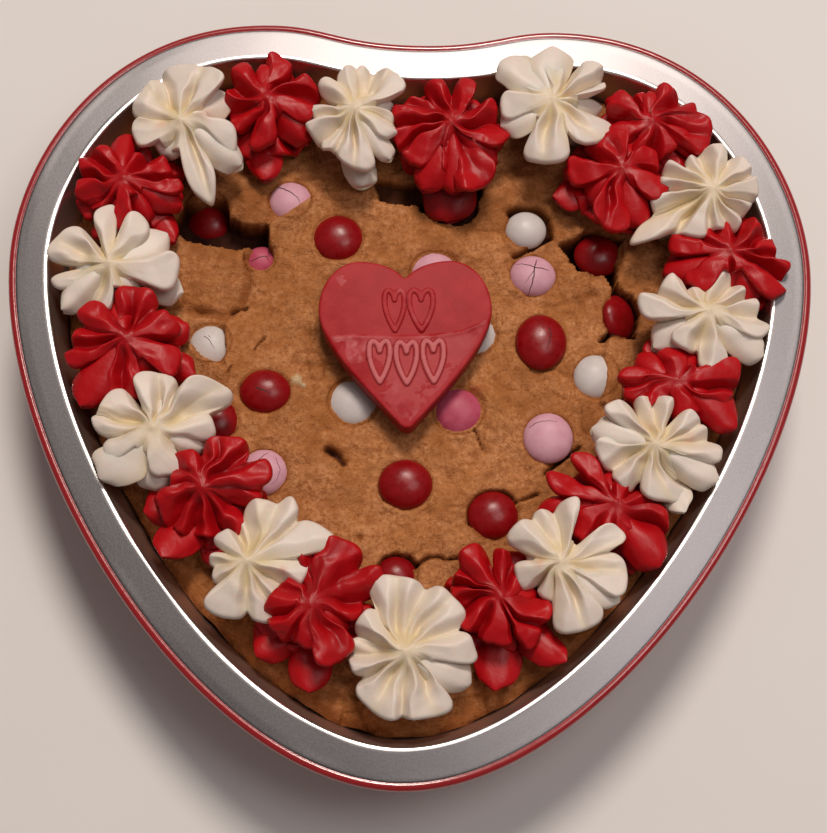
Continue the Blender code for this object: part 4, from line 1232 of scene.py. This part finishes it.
def make_petal(hub, row, draw):
    """One closed tongue of icing under the crown: points, and how much painted shade each carries, along its
    edges near the root and on its underside.
    """
    half_width, tier = row[2:4]
    cup = row[4] if len(row) > 4 else draw.uniform(-0.35, 0.55)
    direction, reach, tip_z = place_tip(hub, row, draw)
    ahead = heading(direction)
    aside = (-ahead[1], ahead[0])
    blunt, square = draw.uniform(7.0, 11.0), draw.uniform(2.1, 2.6)
    bend = math.asin(STRAIGHT_SHARE ** (0.5 * blunt))
    straight = STATIONS // 2 - 2
    rounded = np.sin(np.linspace(bend, math.pi / 2, STATIONS - straight)) ** (2.0 / blunt)
    along = np.concatenate((np.linspace(0.0, STRAIGHT_SHARE, straight, endpoint=False), rounded))[:, None]
    psi = np.linspace(0.0, 2 * math.pi, AROUND, endpoint=False)
    across = np.cos(psi)[None, :]
    upper = (np.sin(psi) >= -1e-9)[None, :]
    side = np.abs(across)
    roll = np.sqrt(np.clip(1.0 - across**2, 0.0, 1.0))
    width = half_width * np.minimum(1.0, 0.12 + 1.5 * along)
    width = width * np.clip(1.0 - along**blunt, 0.0, 1.0) ** (1.0 / square)
    width = width * (1.0 + 0.10 * np.sin(along * draw.uniform(4, 8) + draw.uniform(0, 6) + 1.5 * across))
    sway = draw.uniform(-0.22, 0.22) * half_width
    bank = draw.uniform(0.02, 0.26) * (1.0 - 0.5 * along)
    crown = TIER_CROWN[tier] * draw.uniform(0.75, 1.25) * min(1.0, half_width / 3.6)
    curl = draw.uniform(-0.5, 0.8)
    start_z = TIER_START[tier]
    top = start_z + (tip_z - start_z) * (0.5 * along + 0.5 * along**3) + curl * (along**5 - 0.5 * along**12)
    top = top + (0.6 if tier else 0.2) * np.sin(math.pi * along)
    swell = crown * (0.35 + 0.65 * ease(along / 0.4)) * (1.0 - 0.35 * along**3)
    hollow = cup * ease((along - 0.15) / 0.45)
    belly = (1.8 - 0.4 * along) + (9.0 if tier else 6.0) * (1.0 - ease(along / 0.6))
    belly = belly * np.sqrt(np.clip(1.0 - along**12, 0.0, 1.0))
    slope = ease((side - 0.30) / 0.95) * EDGE_FALL
    z_upper = top - swell * slope - 0.4 * (1.0 - roll) - hollow * (1.0 - 1.7 * side**1.6) * (side < 0.95)
    z_edge = top - swell * EDGE_FALL - 0.4
    z = np.where(upper, z_upper, z_edge - belly * roll)
    z = z + bank * across * width - 0.7 * along**14
    radius = -1.0 + (reach + 1.0) * along * (1.0 - 0.04 * across**2 * along**2) + 0 * across
    slide = across * width + sway * np.sin(math.pi * along)
    x = hub[0] + ahead[0] * radius + aside[0] * slide
    y = hub[1] + ahead[1] * radius + aside[1] * slide
    drift = draw.uniform(0, 50)
    z = z + 0.40 * fractal(x + drift, y, 5.6, 2, 30.0) * ease(along / 0.3)
    x = x + 0.38 * fractal(x, y + drift, 4.2, 2, 31.0) * along
    y = y + 0.38 * fractal(x + drift, y + drift, 4.2, 2, 32.0) * along
    z = np.maximum(z, ICING_FOOT)
    # Painted shade along the petal's edges near its root and all over its underside.
    crease_shade = np.clip(side**3 * (1.1 - along) * 1.2 + 0.6 * (1.0 - along) ** 8, 0, 1) * upper
    # Painted shade all over a deep petal that lies low under the crown.
    crease_shade = crease_shade + (~upper) * 0.5 + (tier == 0 and row[1] > DEEP_REACH) * 0.8
    return np.stack((x, y, z), axis=-1).reshape(-1, 3), (crease_shade + 0 * z).ravel()


def turn_from(angle, direction):
    """Signed turn in degrees, from -180 to 180."""
    return (angle - direction + 180.0) % 360.0 - 180.0


def lobe_extent(angle, direction, reach, half_width, blunt, square, skew):
    """How far out a lobe's outline lies at each angle; 0 beside it. A skewed lobe ends on a slant."""
    along = np.linspace(0.22, 1.0, 80)
    width = half_width * np.minimum(1.0, 0.12 + 1.15 * along) * (1.0 - along**blunt) ** (1.0 / square)
    spread = np.minimum.accumulate(np.degrees(np.arctan2(width, along * reach)))
    radius = np.hypot(width, along * reach)
    turn = turn_from(angle, direction)
    off = np.abs(turn)
    extent = np.interp(off, spread[::-1], radius[::-1]) * (1.0 + skew * turn / spread[0])
    return np.where(off < spread[0], extent, 0.0)


def crown_lobes(hub, rows, draw):
    """Direction, reach, half-width, tip height, cup, bank, rise and any set slant of each lobe, in order."""
    hand = draw.choice((-1.0, 1.0))
    lobes = []
    for row in rows:
        direction, reach, tip_z = place_tip(hub, row, draw)
        cup = row[4] if len(row) > 4 else draw.uniform(-0.5, 0.35)
        bank = hand * draw.uniform(0.05, 0.46) * (1.0 if draw.random() < SAME_BANK else -1.0)
        skew = row[5] if len(row) > 5 else None
        lobes.append((direction, reach, row[2], tip_z, cup, bank, draw.uniform(-0.7, 0.7), skew))
    return sorted(lobes)


def lobe_extents(angle, lobes, draw):
    """How far out each lobe's outline lies at each angle."""
    shapes = []
    for _, reach, *_ in lobes:
        blunt = (draw.uniform(7.0, 15.0), draw.uniform(2.2, 3.8))
        shapes.append(LEAF_SHAPE if reach > DROOP_REACH else blunt)
    extents = []
    for (direction, reach, half_width, *_, skew), shape in zip(lobes, shapes):
        spread = half_width * (WIDE_SPREAD if half_width > WIDE_LOBE else SLIM_SPREAD)
        slant = draw.uniform(-SLANT, SLANT)
        extents.append(lobe_extent(angle, direction, reach, spread, *shape, slant if skew is None else skew))
    return np.array(extents)


def crown_seams(angle, owner, lobes, draw):
    """Directions of the creases between lobes and along wide ones, and how much each fades outwards."""
    starts = np.nonzero(owner != np.roll(owner, 1))[0]
    seams = [(angle[index] - 180.0 / CROWN_SIDES, 0.0) for index in starts]
    for direction, reach, half_width, *_ in lobes:
        if half_width > FOLD_WIDTH:
            seams.append((direction + draw.uniform(-0.4, 0.4) * math.degrees(half_width / reach), FOLD_FADE))
    return seams


def with_seams(z, crease_shade, seams, radius, angle, out, draw):
    """Cuts the creases into a crown, and paints shade into them."""
    for degrees, fade in seams:
        width = draw.uniform(1.4, 3.8) * (0.30 + 0.70 * ease(radius / 10.0))
        depth = draw.uniform(2.4, 4.6) * (1.0 - fade * ease((out - 0.35) / 0.6))
        depth = depth * (SHALLOW if draw.random() < SHALLOW_CHANCE else 1.0)
        gap = radius * np.radians(np.abs(turn_from(angle, degrees)))
        cut = np.clip(1.0 - gap / width, 0.0, 1.0)
        soft = draw.uniform(0.2, 0.9)
        begin = draw.uniform(0.2, 2.6)
        z = z - depth * (soft * ease(cut) + (1.0 - soft) * cut) * ease((radius - begin) / 5.5)
        crease_shade = crease_shade + cut**1.5 * (0.85 - 0.55 * out) * ease((radius - begin) / 2.5)
    return z, crease_shade


def evened(reach):
    """A ring's reach, smoothed a little along it."""
    return (np.roll(reach, 1) + 2 * reach + np.roll(reach, -1)) / 4


def stem_rings(hub, spin, reach, edge_z):
    """Rings from a crown's edge down its stem."""
    wide = reach
    for _ in range(40):
        wide = evened(wide)
    rings = []
    for inward, blend, drop in STEM:
        ring = (1.0 - blend) * reach + blend * STEM_WIDTH * wide - inward
        low = np.maximum(edge_z - drop, ICING_FOOT) if drop > 4 else edge_z - drop
        rings.append(np.column_stack((hub[0] + ring * np.cos(spin), hub[1] + ring * np.sin(spin), low)))
    return rings


def make_crown(hub, rows, draw, kind, lower=0.0):
    """The crown of flat lobes round the swirl, parted by creases, and the stem under it; lower sinks it."""
    rough, core_tone, core_width = kind
    angle = np.arange(CROWN_SIDES) * 360.0 / CROWN_SIDES
    spin = np.radians(angle)
    lobes = crown_lobes(hub, rows, draw)
    extents = lobe_extents(angle, lobes, draw)
    offs = np.array([turn_from(angle, lobe[0]) for lobe in lobes])
    owner = np.where(extents.max(0) > 0, extents.argmax(0), np.abs(offs).argmin(0))
    stem = 0.44 * np.mean([lobe[1] for lobe in lobes])
    wave = rough * fractal(3.0 * np.cos(spin) + hub[0], 3.0 * np.sin(spin), 0.9, 3, 33.0)
    reach = evened(np.maximum(extents.max(0) + wave, stem))
    share = (1.0 - (1.0 - np.linspace(0.02, 1.0, CROWN_RINGS)) ** 1.3)[:, None]
    radius = share * reach
    twist = np.radians(draw.uniform(-SWIRL_TWIST, SWIRL_TWIST)) * (1.0 - share) ** 2
    x, y = hub[0] + radius * np.cos(spin + twist), hub[1] + radius * np.sin(spin + twist)
    around = radius * np.radians(offs[owner, np.arange(CROWN_SIDES)])
    lobe_reach, lobe_width, tip_z, cup, bank, rise = np.array([lobe[1:7] for lobe in lobes])[owner].T
    out = np.clip(radius / lobe_reach, 0.0, 1.2)
    grown = ease(radius / 6.0)
    z = SWIRL_TOP - (SWIRL_TOP - tip_z) * (0.30 * out + 0.70 * out**3)
    hollow = cup * (1.0 - 1.6 * np.clip(np.abs(around) / lobe_width, 0, 1) ** 2)
    z = z + grown * (rise + bank * around - hollow)
    z = z + 0.35 * bell(radius / 0.9)
    # The swirl's middle takes the shade colour too: painted shade in the red, a yellow tint in the cream.
    crease_shade = core_tone * bell(radius / core_width)
    z, crease_shade = with_seams(z, crease_shade, crown_seams(angle, owner, lobes, draw), radius, angle, out, draw)
    near = np.clip(path_distance(x, y, np.column_stack((x[-1], y[-1]))) / CROWN_ROUND, 0.0, 1.0)
    z = z - CROWN_ROUND * (1.0 - np.sqrt(1.0 - (1.0 - near) ** 2))
    bend = (0.5 + 2.0 * rough) * ease(radius / 5.0) * (1.0 - np.clip(radius / reach, 0.0, 1.0) ** 3)
    x, y = x + bend * fractal(x, y, 6.5, 2, 41.0 + lower), y + bend * fractal(x, y, 6.5, 2, 43.0 + lower)
    folds = fractal(x + 2.0 * fractal(x, y, 6.0, 2, 36.0), y, 5.2, 2, 34.0 + lower)
    z = z + rough * (1.4 * folds + 0.22 * bell(folds / 0.2)) * grown - lower
    stem_part = np.vstack(stem_rings(hub, spin, reach, z[-1]))
    points = np.vstack((np.stack((x, y, z), axis=-1).reshape(-1, 3), stem_part))
    return points, np.concatenate((np.clip(crease_shade, 0, 1).ravel(), np.full(len(stem_part), STEM_SHADE)))


def skirt_rows(hub, draw):
    """Short lower lobes all round, which fill the space up to the rosettes on both sides."""
    outward = math.degrees(math.atan2(hub[1] - 5.0, hub[0]))
    rows = []
    for step in range(SKIRT_LOBES):
        degrees = 360.0 * step / SKIRT_LOBES + draw.uniform(-9.0, 9.0)
        along_band = abs(math.sin(math.radians(degrees - outward)))
        rows.append((degrees, 10.6 + 3.6 * along_band + draw.uniform(-0.8, 0.8), draw.uniform(3.6, 5.2), 2))
    return rows


def rosette_blocks(hub, petals, draw, colour):
    """Each closed block of a rosette: its points, their creases, and how many points a ring has."""
    top_rows = [row for row in petals if row[3] == 2]
    blocks = [(*make_crown(hub, top_rows, draw, LOBE_KINDS[colour]), CROWN_SIDES)]
    if colour == "red":
        lower_rows = skirt_rows(hub, draw)
        blocks.append((*make_crown(hub, lower_rows, draw, LOBE_KINDS[colour], SKIRT_DROP), CROWN_SIDES))
    blocks += [(*make_petal(hub, row, draw), AROUND) for row in petals if row[3] < 2]
    return blocks


def run_tone(node, hub, points):
    """How strongly any runs show on a rosette."""
    tone = np.zeros(len(points))
    for degrees, reach, radius, strength in RUNS.get(node, ()):
        spot = hub + reach * heading(degrees)
        away = np.hypot(points[:, 0] - spot[0], points[:, 1] - spot[1]) / radius
        patchy = 0.8 + 0.5 * fractal(points[:, 0], points[:, 1], 1.4, 2, 44.0)
        tone += strength * bell(away) * patchy
    return np.clip(tone, 0.0, 1.0)


def make_rosette(node, looks):
    place, petals = ROSETTES[node]
    hub = np.array(place)
    colour = node.split("_")[1]
    slot = "cream_icing" if colour == "white" else "red_icing"
    draw = np.random.default_rng(sum(map(ord, node)) + int(abs(place[0]) * 10))
    blocks = rosette_blocks(hub, petals, draw, colour)
    faces, start = [], 0
    for points, _, sides in blocks:
        faces += grid_faces(len(points) // sides, sides, start=start, flip=True)
        faces.append(cap(start, sides))
        start += len(points)
        if sides == CROWN_SIDES:
            faces.append(cap(start - sides, sides, flip=True))
    points = np.vstack([block[0] for block in blocks])
    side, slope, lift = LEANS.get(node, (0, 0.0, LIFTS[colour]))
    ahead = heading(side)
    toward = (points[:, 0] - hub[0]) * ahead[0] + (points[:, 1] - hub[1]) * ahead[1]
    points[:, 2] += (slope * toward + lift) * ease((points[:, 2] - 30.0) / 6.0)
    values = {"crease_shade": np.concatenate([block[1] for block in blocks]), "stain": run_tone(node, hub, points)}
    piece = make_piece(f"{node}_piped", points, faces, [looks[slot]], values=values)
    stand_for(piece, node)


def make_rosettes():
    looks = {name: icing_material(name, *numbers) for name, numbers in ICINGS.items()}
    for node in ROSETTES:
        make_rosette(node, looks)


# Stage

FLOOR_REACH = 1500.0
LIGHT_TARGET = (0.0, 0.0, 0.03)

# The lights: place and size in metres, power and colour.
LIGHTS = {
    "key": ((0.07, 0.80, 1.40), 0.42, 16.9, (1.0, 0.89, 0.80)),
    "fill": ((0.22, 0.02, 0.68), 0.28, 0.98, (1.0, 0.92, 0.90)),
}
WORLD_COLOUR = (1.0, 0.90, 0.86, 1.0)
WORLD_STRENGTH = 0.165


def make_light(name, place, size, power, colour):
    data = bpy.data.lights.new(name, "AREA")
    data.shape = "DISK"
    data.size = size
    data.energy = power
    data.color = colour
    light = bpy.data.objects.new(name, data)
    light.location = place
    light.rotation_euler = (Vector(LIGHT_TARGET) - light.location).to_track_quat("-Z", "Y").to_euler()
    bpy.context.scene.collection.objects.link(light)


def make_stage():
    look = Look("pale_floor", 0.85)
    look.paint(look.mix(look.noise(60.0), (0.74, 0.725, 0.70), (0.78, 0.765, 0.745)))
    corners = [(FLOOR_REACH * x, FLOOR_REACH * y, 0.0) for x, y in ((-1, -1), (1, -1), (1, 1), (-1, 1))]
    floor = make_piece("floor", corners, [(0, 1, 2, 3)], [look.material])
    for name, settings in LIGHTS.items():
        make_light(name, *settings)
    world = bpy.data.worlds.new("studio")
    world.use_nodes = True
    background = world.node_tree.nodes["Background"]
    background.inputs["Color"].default_value = WORLD_COLOUR
    background.inputs["Strength"].default_value = WORLD_STRENGTH
    bpy.context.scene.world = world
    bpy.context.scene.view_settings.view_transform = "Standard"


def make_camera():
    data = bpy.data.cameras.new("camera")
    data.sensor_fit = "HORIZONTAL"
    data.sensor_width = SENSOR_WIDTH
    data.lens = SENSOR_WIDTH * FOCAL_PIXELS / IMAGE_WIDTH
    data.clip_start = 0.01
    camera = bpy.data.objects.new("camera", data)
    ahead = CAMERA_TARGET - CAMERA_PLACE
    ahead /= np.linalg.norm(ahead)
    right = np.cross(ahead, (math.sin(CAMERA_ROLL), math.cos(CAMERA_ROLL), 0.0))
    right /= np.linalg.norm(right)
    up = np.cross(right, ahead)
    matrix = np.eye(4)
    matrix[:3, 0], matrix[:3, 1], matrix[:3, 2], matrix[:3, 3] = right, up, -ahead, CAMERA_PLACE * MM
    camera.matrix_world = Matrix(matrix.tolist())
    bpy.context.scene.collection.objects.link(camera)
    bpy.context.scene.camera = camera


make_tin()
make_cookie()
make_candies()
make_candy_heart()
make_rosettes()
make_stage()
make_camera()
